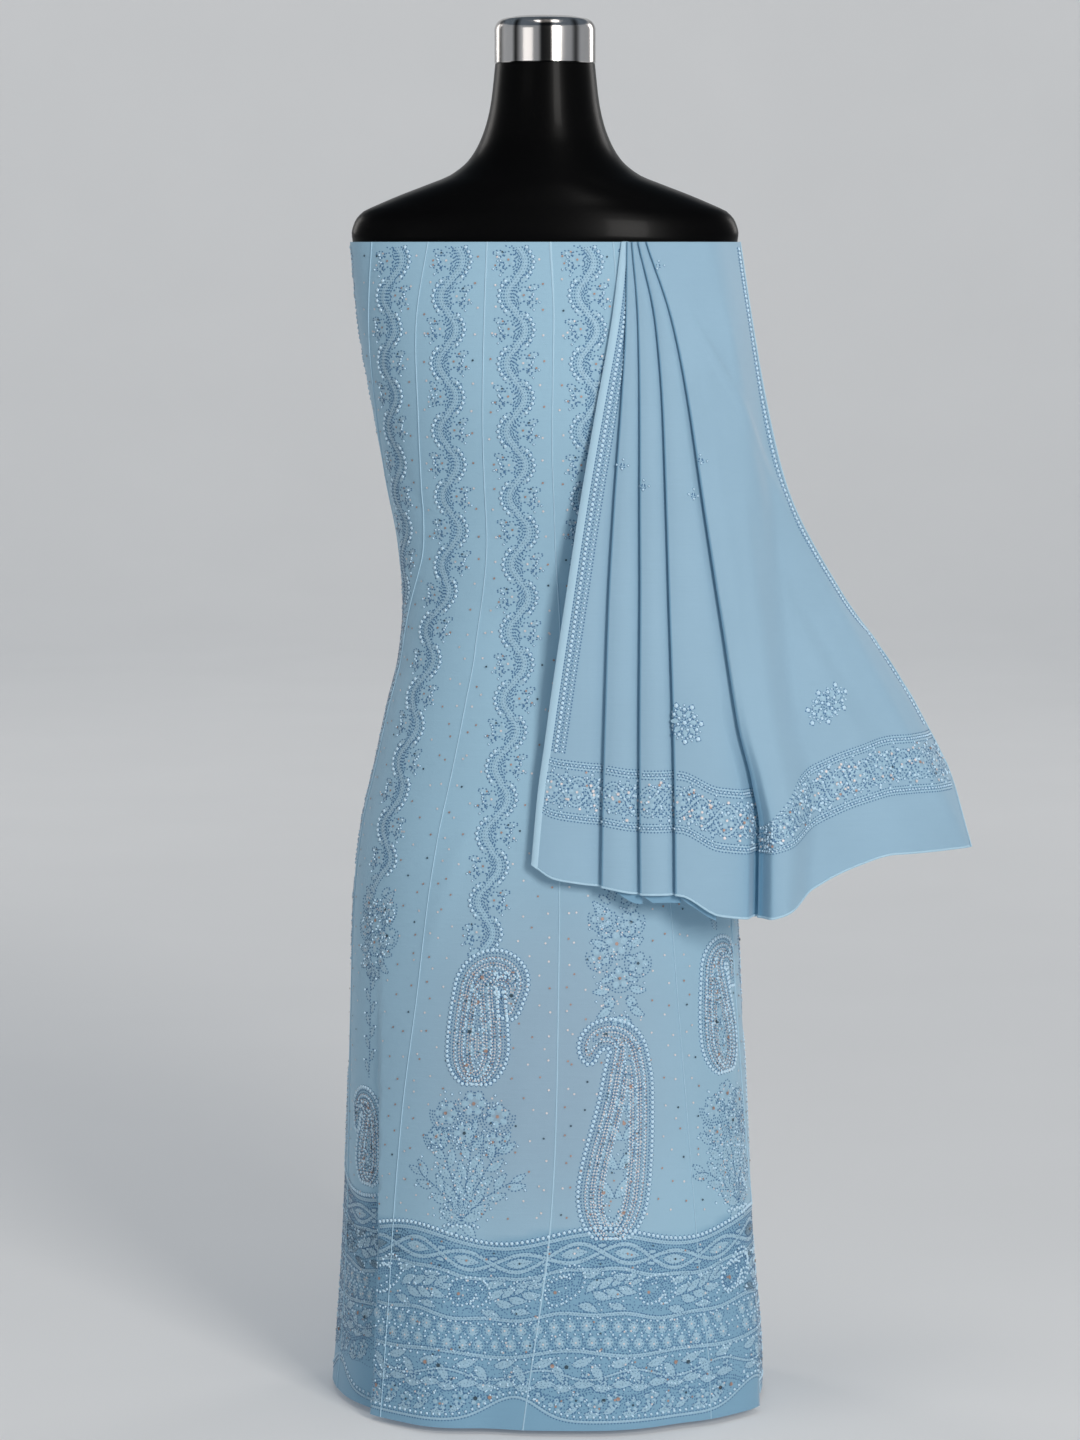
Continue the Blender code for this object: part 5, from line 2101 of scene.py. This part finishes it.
def hem_band_work(start, end, draws):
    """Return the hem band laid out flat, its heights counted down from the top line."""
    work = Needlework()
    across = np.arange(start, end, LINE_STEP)
    for drop, wave, period, phase, width, rows in BAND_STEMS:
        ups = -drop + wave * np.sin(2 * np.pi * across / period + phase)
        work.stem(np.column_stack([across, ups]), width, rows)
    work.knotted(np.column_stack([across, 0 * across]), 0.0050, 1.1)
    for drop, pitch, scale in BAND_KNOTS:
        work.knotted(np.column_stack([across, 0 * across - drop]), pitch, scale)
    for part in (crossing_row(start, end), paisley_row(start, end, draws), leaf_row(start, end, draws)):
        work.place(part, 0.0, 0.0)
    for row, drop in enumerate(PETAL_DROPS):
        for i in cells(start, end, PETAL_PITCH, whole=True):
            turn = draws.uniform(-0.2, 0.2) + (math.pi if row else 0.0)
            work.place(petal_cell(0.0148), (i + 0.5 * row) * PETAL_PITCH, -drop, turn)
    places = np.arange(start, end, GROUND_PITCH)
    for drop in np.arange(0.009, BAND_TOP - KURTA_HEM - 0.010, GROUND_PITCH):
        x = places + draws.uniform(-GROUND_JITTER, GROUND_JITTER, len(places))
        y = -drop + draws.uniform(-GROUND_JITTER, GROUND_JITTER, len(places))
        size = np.full(len(places), sizes().stitch_length * 0.80)
        turn = draws.uniform(0, math.pi, len(places))
        work.stitches.append(np.column_stack([x, y, turn, size, size * 0.7]))
    for _i in range(int((end - start) / 0.006)):
        tone = int(draws.choice(3, p=SEQUIN_TONES))
        work.sequin(draws.uniform(start, end), -draws.uniform(0.006, 0.12), SMALL_SEQUIN, tone)
    return work


# The lowest line's scallops: distance apart, how far left of the front seam one
# stands, height, half width, and height of the line between them
SCALLOP_SPACING = 0.262
SCALLOP_START = 0.012
SCALLOP_RISE = 0.024
SCALLOP_WIDTH = 0.024
SCALLOP_BASE = 0.0085
# How far stitches and ribbons stay above that line
STITCH_CLEAR = 0.0055
RIBBON_CLEAR = 0.0050


def scallop_height(across):
    """Return the height above the hem of the lowest line of the band."""
    away = np.mod(across + SCALLOP_START + SCALLOP_SPACING / 2, SCALLOP_SPACING) - SCALLOP_SPACING / 2
    return SCALLOP_BASE + SCALLOP_RISE * np.exp(-(away**2) / (2 * SCALLOP_WIDTH**2))


def scallop_work(start, end):
    """Return the waving line just above the hem, as heights."""
    work = Needlework()
    across = np.arange(start, end, LINE_STEP)
    line = np.column_stack([across, KURTA_HEM + scallop_height(across)])
    work.stem(line, 0.0034)
    work.knotted(line + np.array([0.0, 0.0046]), 0.0064, 0.85)
    return work


def above_scallop(work):
    """Return the needlework that lies above the lowest line."""
    kept = Needlework()
    for kind in Needlework.KINDS:
        rows = work.rows(kind)
        lowest = KURTA_HEM + scallop_height(rows[:, 0]) + STITCH_CLEAR
        getattr(kept, kind).append(rows[rows[:, 1] > lowest])
    for line, widths in work.ribbons:
        clear = line[:, 1] > KURTA_HEM + scallop_height(line[:, 0]) + RIBBON_CLEAR
        if clear.all():
            kept.ribbons.append((line, widths))
    return kept


def bent_to_band(work, surface, degrees):
    """Return flat needlework bent to the band's waving, partly raised line."""
    middle = len(surface.ups) // 2

    def bend(places):
        around = np.interp(places[:, 0], surface.arcs[middle], degrees[middle])
        return np.column_stack([places[:, 0], band_height(places[:, 0], -places[:, 1], around)])

    return work.reshaped(bend)


def make_hem_band():
    """Sew the wide band of needlework round the skirt, and the line above the hem."""
    surface, degrees = skirt_surface()
    low, high = surface.width(BAND_MIDDLE)
    ends = {"left": (low, low / 3), "middle": (low / 3, high / 3), "right": (high / 3, high)}
    for part, (start, end) in ends.items():
        draws = np.random.default_rng(sizes().seed + len(part))
        sewing = Sewing(draws)
        band = bent_to_band(hem_band_work(start, end, draws), surface, degrees)
        sewing.sew(above_scallop(band), surface)
        sewing.sew(scallop_work(start, end), surface)
        sewing.finish(f"hem_band_{part}")


# Sequins beside the seams: lowest row and distance from the seam
SEAM_SEQUINS_LOW = 0.22
SEAM_SEQUINS_ASIDE = 0.009
# Sequins over the skirt: lowest and highest row, distance from the left and
# right seam, half width of the strip kept clear for the vine, and its lower end
SKIRT_SEQUINS_LOW = 0.215
SKIRT_SEQUINS_HIGH = 0.78
SKIRT_SEQUINS_LEFT = 0.014
SKIRT_SEQUINS_RIGHT = 0.012
CLEAR_HALF = 0.022
CLEAR_LOW = 0.30


def scatter(work, x, y, drift_x, drift_y, size, draws):
    """Sew one sequin of a tone drawn by chance, a little off its place."""
    tone = int(draws.choice(3, p=SEQUIN_TONES))
    work.sequin(x + draws.normal(0, drift_x), y + draws.normal(0, drift_y), size, tone)


def make_sequins():
    """Sew small sequins beside the seams and scattered over the skirt."""
    draws = np.random.default_rng(sizes().seed)
    sewing = Sewing(draws)
    spacing = sizes().sequin_spacing
    for seam in range(KALIS):
        surface = kali_surface(seam)
        work = Needlework()
        ups = np.arange(SEAM_SEQUINS_LOW, KURTA_TOP - 0.01, spacing * 0.9)
        low, high = surface.width(ups)
        for i, up in enumerate(ups):
            for across in (low[i] + SEAM_SEQUINS_ASIDE, high[i] - SEAM_SEQUINS_ASIDE):
                scatter(work, across, up, 0.0012, 0.002, 0.0024, draws)
        for i, up in enumerate(np.arange(SKIRT_SEQUINS_LOW, SKIRT_SEQUINS_HIGH, spacing * 0.55)):
            left, right = surface.width(up)
            start = left + SKIRT_SEQUINS_LEFT + (spacing / 2 if i % 2 else 0.0)
            for across in np.arange(start, right - SKIRT_SEQUINS_RIGHT, spacing):
                if abs(across) > CLEAR_HALF or up < CLEAR_LOW:
                    scatter(work, across, up, 0.0015, 0.0015, 0.0023, draws)
        sewing.sew(work, surface)
    sewing.finish("skirt_sequins")


# The dupatta's end band: its lower line's place above the hem, its height, the
# length and half height of its waves, and how far needlework runs under a fold
END_BAND_START = 0.060
END_BAND_HEIGHT = 0.058
END_BAND_PERIOD = 0.052
END_BAND_WAVE = 0.0135
SEEN_UNDERLAP = 0.004


def seen_section(surface, sections, section, up):
    """Return the arc lengths at which one front section starts and ends at a place up."""
    row = int(round(float(np.interp(up, surface.ups, np.arange(len(surface.ups))))))
    columns = np.flatnonzero(sections == section)
    arcs = surface.arcs[row, columns]
    x = surface.points[row, columns, 0]
    if section == WING_SECTION:
        return arcs[0], arcs[-1]
    covered = surface.points[row, np.flatnonzero(sections == section + 2)[0], 0]
    return arcs[0], float(np.interp(covered + SEEN_UNDERLAP, x, arcs))


def end_band_work(start, end, draws):
    """Return the dupatta's end band between two places across."""
    work = Needlework()
    across = np.arange(start - LINE_STEP, end, LINE_STEP)
    base = END_BAND_START
    top = base + END_BAND_HEIGHT
    middle = base + END_BAND_HEIGHT / 2
    for up in (base + 0.0012, base + 0.0064, top - 0.0064, top - 0.0012):
        work.stem(np.column_stack([across, np.full(len(across), up)]), 0.0026)
    for up in (base + 0.0038, top - 0.0038):
        work.knotted(np.column_stack([across, np.full(len(across), up)]), 0.0040, 0.62)
    for phase in (0.0, math.pi):
        wave = middle + END_BAND_WAVE * np.sin(2 * np.pi * across / END_BAND_PERIOD + phase)
        work.stem(np.column_stack([across, wave]), 0.0032)
    for i in cells(start, end, END_BAND_PERIOD / 2):
        x = (i + 0.5) * END_BAND_PERIOD / 2
        work.place(flower(0.0090, 5, 0), x, middle, draws.uniform(0, 1))
        x += END_BAND_PERIOD / 4
        for side in (-1, 1):
            work.place(sprig(0.0095, 3, 120), x, middle + side * 0.010, side * math.pi / 2)
            work.place(leaf(0.0125, 0.0056, 0.2), x, middle, side * 0.9 + math.pi * (i % 2))
    for _i in range(int((end - start) / 0.0013)):
        x = draws.uniform(start, end)
        up = base + 0.009 + draws.uniform(0, END_BAND_HEIGHT - 0.018)
        if draws.uniform() < 0.72:
            work.knot(x, up, draws.uniform(0.60, 1.05))
        else:
            work.sequin(x, up, draws.uniform(0.0022, 0.0034), int(draws.choice(3, p=BEAD_TONES)))
    return work


PINCH_WIDTH = 0.055
PINCH_LEAST = 0.42


def pinched(work, start):
    """Return the end band squeezed towards its lower line where the wing starts."""

    def squeeze(places):
        share = PINCH_LEAST + (1 - PINCH_LEAST) * ease((places[:, 0] - start) / PINCH_WIDTH)
        return np.column_stack([places[:, 0], END_BAND_START + (places[:, 1] - END_BAND_START) * share])

    return work.reshaped(squeeze)


def butti(radius):
    """Return a round flower of leaves and knots."""
    work = Needlework()
    reach = radius * 0.52
    for i in range(7):
        turn = 2 * math.pi * i / 7 + 0.3
        work.place(leaf(reach, reach * 0.62, 0.2), *polar(radius * 0.24, turn), turn)
        work.knot(*polar(radius * 0.92, turn), 1.35)
        between = turn + math.pi / 7
        work.place(sprig(radius * 0.24, 3, 90), *polar(reach, between), between)
        work.knot(*polar(radius * 0.66, between), 1.05)
        work.knot(*polar(radius * 0.34, between), 0.9)
    work.dotted(arc(0.0, 0.0, radius * 0.2, 0, 360, 12))
    work.knot(0.0, 0.0, 1.3)
    return work


def bud():
    """Return a tiny three-leaved flower."""
    work = Needlework()
    work.place(sprig(0.0052, 3, 150), 0.0, 0.0, math.pi / 2)
    work.knot(0.0, -0.002, 0.7)
    return work


# Round flowers and small buds of the dupatta: section, place across and height
# on it, and radius. A radius of 0 is a bud.
DUPATTA_FLOWERS = (
    (8, 0.277, 0.710, 0.0215),
    (6, 0.1345, 0.698, 0.0195),
    (8, 0.1010, 1.135, 0.0),
    (2, 0.0745, 0.944, 0.0),
    (4, 0.0945, 0.924, 0.0),
    (6, 0.1430, 0.915, 0.0),
    (8, 0.1500, 0.949, 0.0),
)


# How much wider and lower the flowers on the wing are
WING_STRETCH = (1.18, 0.86)


def place_on(surface, sections, section, x, height):
    """Return the flat place of a point of one section, from its place across and height."""
    columns = np.flatnonzero(sections == section)
    heights = [np.interp(x, row[columns, 0], row[columns, 2]) for row in surface.points]
    row = np.interp(height, heights, np.arange(len(heights)))
    nearest = int(round(row))
    across = np.interp(x, surface.points[nearest, columns, 0], surface.arcs[nearest, columns])
    return float(across), float(np.interp(row, np.arange(len(surface.ups)), surface.ups))


# Lines of the strip beside the dupatta's edges: distance from its start and
# size of its knots, or 0 for a dotted line.
EDGE_LINES = ((0.0, 0.0), (0.0038, 1.10), (0.0074, 0.0), (0.0102, 0.72), (0.0128, 0.0))
# Distance of the strips from the left and the right edge, and the step of their lines
STRIP_LEFT = 0.0085
STRIP_RIGHT = 0.0048
LINE_STEP = 0.002


def edge_strip(across, ups, aside, lines):
    """Return a strip of knotted and dotted lines beside an edge."""
    work = Needlework()
    for distance, knots in EDGE_LINES[:lines]:
        line = np.column_stack([across + aside * distance, ups])
        if knots:
            work.knotted(line, KNOT_PITCH, knots)
        else:
            work.dotted(line)
    return work


def make_dupatta_needlework():
    """Sew the dupatta's end band, its edge strips and its scattered flowers."""
    surface, sections = dupatta_surface()
    draws = np.random.default_rng(sizes().seed + 3)
    sewing = Sewing(draws)
    for section in range(0, WING_SECTION + 1, 2):
        start, end = seen_section(surface, sections, section, END_BAND_START + 0.03)
        work = end_band_work(start + (0.009 if section == 0 else 0.0), end, draws)
        if section == WING_SECTION:
            work = pinched(work, start)
        sewing.sew(work, surface)
    top = END_BAND_START + END_BAND_HEIGHT + 0.006
    ups = np.arange(top, surface.ups[-1] - 0.004, LINE_STEP)
    sewing.sew(edge_strip(0 * ups + STRIP_LEFT, ups, 1, 5), surface)
    _low, high = surface.width(ups)
    sewing.sew(edge_strip(high - STRIP_RIGHT, ups, -1, 3), surface)
    for section, x, height, radius in DUPATTA_FLOWERS:
        across, up = place_on(surface, sections, section, x, height)
        work = Needlework()
        shown = butti(radius) if radius else bud()
        if section == WING_SECTION:
            shown = shown.reshaped(lambda places: places * WING_STRETCH)
        work.place(shown, across, up)
        sewing.sew(work, surface)
    sewing.finish("dupatta_needlework")


EDGING_WIDTH = 0.0078
HEM_EDGING_WIDTH = 0.0018
# Lines of points of the side edgings, as shares of the width, and of the hem
# edging, as places up from the hem, each with its height above the cloth
SIDE_EDGING_LINES = ((0.0, 0.0002), (0.15, 0.0009), (0.85, 0.0008), (1.0, 0.0001))
HEM_EDGING_LINES = (
    (0.0001, 0.0002),
    (0.0006, 0.0007),
    (HEM_EDGING_WIDTH, 0.0006),
    (HEM_EDGING_WIDTH + 0.0004, 0.0001),
)


def make_edging():
    """Build the pale folded edging along the dupatta's left edge, hem and right edge."""
    surface, _sections = dupatta_surface()
    low, high = surface.width(surface.ups)
    strips = []
    for start, stop in ((0 * low, low + EDGING_WIDTH), (high - HEM_EDGING_WIDTH, high)):
        rows = []
        for share, raised in SIDE_EDGING_LINES:
            rows.append(surface.raised(start + (stop - start) * share, surface.ups, raised))
        strips.append(rows)
    across = surface.arcs[0][:-1] + 0.0002
    rows = []
    for up, raised in HEM_EDGING_LINES:
        rows.append(surface.raised(across, np.full(len(across), up), raised))
    strips.append(rows)
    faces = []
    count = 0
    for rows in strips:
        faces += strip_faces(count, len(rows) - 1, len(rows[0]))
        count += len(rows) * len(rows[0])
    points = np.concatenate([row for rows in strips for row in rows])
    item = joined_mesh("dupatta_edging", points, faces, edging_cloth())
    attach(item, BODY)
    return item


def set_camera():
    """Place the camera level with the kurta's top edge, tilted down a little."""
    data = bpy.data.cameras.new("camera")
    data.sensor_width = SENSOR
    data.lens = FOCAL_PIXELS / IMAGE_HEIGHT * SENSOR
    data.dof.use_dof = False
    data.clip_end = 50
    item = add_object("camera", data)
    item.location = (CAMERA_ASIDE, -CAMERA_DISTANCE, CAMERA_HEIGHT)
    down = math.atan((IMAGE_HEIGHT / 2 - HORIZON_ROW) / FOCAL_PIXELS)
    item.rotation_euler = (math.pi / 2 - down, 0, 0)
    bpy.context.scene.camera = item


def add_light(name, place, target, size, power):
    """Add a soft area light that looks at a target."""
    data = bpy.data.lights.new(name, "AREA")
    data.shape = "RECTANGLE"
    data.size, data.size_y = size
    data.energy = power
    data.color = LIGHT_COLOUR
    item = add_object(name, data)
    away = np.array(place) - np.array(target)
    item.location = place
    item.rotation_euler = (
        math.acos(away[2] / np.linalg.norm(away)),
        0,
        math.atan2(away[1], away[0]) + math.pi / 2,
    )
    item.visible_camera = False


# Profile of the stage, a wide round floor that curves up far away
STAGE_FLAT = 8.0
STAGE_CURVE = 2.5
STAGE_TOP = 7.0
STAGE_SIDES = 48
STAGE_GLOW = 0.15
STAGE_GLOW_COLOUR = (0.80, 0.88, 1.0)
WORLD_COLOUR = (0.66, 0.82, 1.0)
WORLD_STRENGTH = 0.18

# Lights: name, place, target, size and power in watts
LIGHTS = (
    ("key", (2.3, -4.8, 2.5), (0.0, 0.0, 0.70), (1.3, 1.9), 205),
    ("fill", (-3.8, -4.6, 1.5), (0.0, 0.0, 0.70), (2.4, 2.4), 20),
    ("top", (0.2, -0.9, 4.6), (0.0, 0.0, 0.70), (2.0, 1.6), 34),
    ("back_left", (-4.4, 4.2, 2.6), (0.0, 0.0, 0.70), (1.8, 2.4), 60),
    ("back_right", (4.4, 4.2, 2.6), (0.0, 0.0, 0.70), (1.8, 2.4), 60),
    ("backdrop", (0.0, 5.4, 6.2), (0.0, 10.5, 2.4), (7.0, 1.5), 150),
)
LIGHT_COLOUR = (1.0, 0.97, 0.94)


def make_stage():
    """Set up the floor, backdrop, lights and camera."""
    profile = [(STAGE_FLAT, 0.0)]
    for angle in np.linspace(0.15, math.pi / 2, 10):
        profile.append((STAGE_FLAT + STAGE_CURVE * math.sin(angle), STAGE_CURVE * (1 - math.cos(angle))))
    profile.append((STAGE_FLAT + STAGE_CURVE, STAGE_TOP))
    rings = round_rings(profile, STAGE_SIDES)
    points = np.concatenate([[(0.0, 0.0, 0.0)], *rings])
    around = np.arange(STAGE_SIDES)
    after = (around + 1) % STAGE_SIDES
    faces = [(0, 1 + j, 1 + i) for i, j in zip(around, after)]
    for level in range(len(rings) - 1):
        low = 1 + level * STAGE_SIDES
        high = low + STAGE_SIDES
        faces += [(low + i, low + j, high + j, high + i) for i, j in zip(around, after)]
    extra = {"Emission Color": opaque(STAGE_GLOW_COLOUR), "Emission Strength": STAGE_GLOW}
    material, tree, shader = start_material("stage_paper", (0.62, 0.61, 0.59), 0.85, 0.0, extra)
    varied(tree, shader, 2.0, 2.0, (0.60, 0.59, 0.57), (0.64, 0.63, 0.61))
    stage = joined_mesh("stage_floor", points, faces, material)
    world = bpy.data.worlds.new("studio")
    world.use_nodes = True
    background = world.node_tree.nodes["Background"]
    background.inputs["Color"].default_value = opaque(WORLD_COLOUR)
    background.inputs["Strength"].default_value = WORLD_STRENGTH
    bpy.context.scene.world = world
    for light in LIGHTS:
        add_light(*light)
    bpy.context.scene.view_settings.view_transform = "Standard"
    bpy.context.scene.view_settings.look = "None"
    set_camera()


def need(*names):
    """Raise an error where a piece that a step builds on is missing."""
    missing = [name for name in names if name not in bpy.data.objects]
    if missing:
        raise RuntimeError("build these pieces first: " + ", ".join(missing))


class KURTASET_OT_form(bpy.types.Operator):
    """Build the limbless form, its neck cap and its hidden stand"""

    bl_idname = "kurta_set.form"
    bl_label = "Dress Form"

    def execute(self, context):
        make_torso()
        make_cap()
        make_stand()
        return {"FINISHED"}


class KURTASET_OT_kurta(bpy.types.Operator):
    """Build the ten kalis of the kurta and the seams between them"""

    bl_idname = "kurta_set.kurta"
    bl_label = "Kurta"

    def execute(self, context):
        for seam in range(KALIS):
            make_kali(seam)
        make_seams()
        return {"FINISHED"}


class KURTASET_OT_vines(bpy.types.Operator):
    """Sew the vines down the kalis"""

    bl_idname = "kurta_set.vines"
    bl_label = "Vines"

    def execute(self, context):
        need("cloth_front_kali_3")
        make_vines()
        return {"FINISHED"}


class KURTASET_OT_motifs(bpy.types.Operator):
    """Sew the paisleys and bunches of flowers below the vines"""

    bl_idname = "kurta_set.motifs"
    bl_label = "Panel Motifs"

    def execute(self, context):
        need("cloth_front_kali_3")
        make_panel_motifs()
        return {"FINISHED"}


class KURTASET_OT_hem_band(bpy.types.Operator):
    """Sew the wide band round the skirt"""

    bl_idname = "kurta_set.hem_band"
    bl_label = "Hem Band"

    def execute(self, context):
        need("cloth_front_kali_3")
        make_hem_band()
        return {"FINISHED"}


class KURTASET_OT_sequins(bpy.types.Operator):
    """Sew the small sequins of the kurta"""

    bl_idname = "kurta_set.sequins"
    bl_label = "Sequins"

    def execute(self, context):
        need("cloth_front_kali_3")
        make_sequins()
        return {"FINISHED"}


class KURTASET_OT_dupatta(bpy.types.Operator):
    """Build the pleated dupatta with its needlework"""

    bl_idname = "kurta_set.dupatta"
    bl_label = "Dupatta"

    def execute(self, context):
        need("form_torso", "cloth_front_kali_3")
        make_dupatta()
        make_edging()
        make_dupatta_needlework()
        return {"FINISHED"}


class KURTASET_OT_stage(bpy.types.Operator):
    """Set up the floor, the lights and the camera"""

    bl_idname = "kurta_set.stage"
    bl_label = "Studio Stage"

    def execute(self, context):
        make_stage()
        return {"FINISHED"}


OPERATORS = (
    KURTASET_OT_form,
    KURTASET_OT_kurta,
    KURTASET_OT_vines,
    KURTASET_OT_motifs,
    KURTASET_OT_hem_band,
    KURTASET_OT_sequins,
    KURTASET_OT_dupatta,
    KURTASET_OT_stage,
)


class KURTASET_PT_panel(bpy.types.Panel):
    """Lists the set's sizes, colours and building steps."""

    bl_label = "Kurta Set"
    bl_idname = "KURTASET_PT_panel"
    bl_space_type = "VIEW_3D"
    bl_region_type = "UI"
    bl_category = "Kurta Set"

    def draw(self, context):
        layout = self.layout
        for group in (context.scene.kurta_set_sizes, context.scene.kurta_set_colours):
            for name in group.__annotations__:
                layout.prop(group, name)
        for operator in OPERATORS:
            layout.operator(operator.bl_idname)


CLASSES = (KurtaSizes, SetColours, *OPERATORS, KURTASET_PT_panel)


def register():
    """Register the add-on's classes and settings."""
    for item in CLASSES:
        bpy.utils.register_class(item)
    bpy.types.Scene.kurta_set_sizes = PointerProperty(type=KurtaSizes)
    bpy.types.Scene.kurta_set_colours = PointerProperty(type=SetColours)


def unregister():
    """Remove the add-on's classes and settings."""
    del bpy.types.Scene.kurta_set_colours
    del bpy.types.Scene.kurta_set_sizes
    for item in reversed(CLASSES):
        bpy.utils.unregister_class(item)


def main():
    """Build the whole set."""
    register()
    for step in ("form", "kurta", "vines", "motifs", "hem_band", "sequins", "dupatta", "stage"):
        getattr(bpy.ops.kurta_set, step)()


if __name__ == "__main__":
    main()
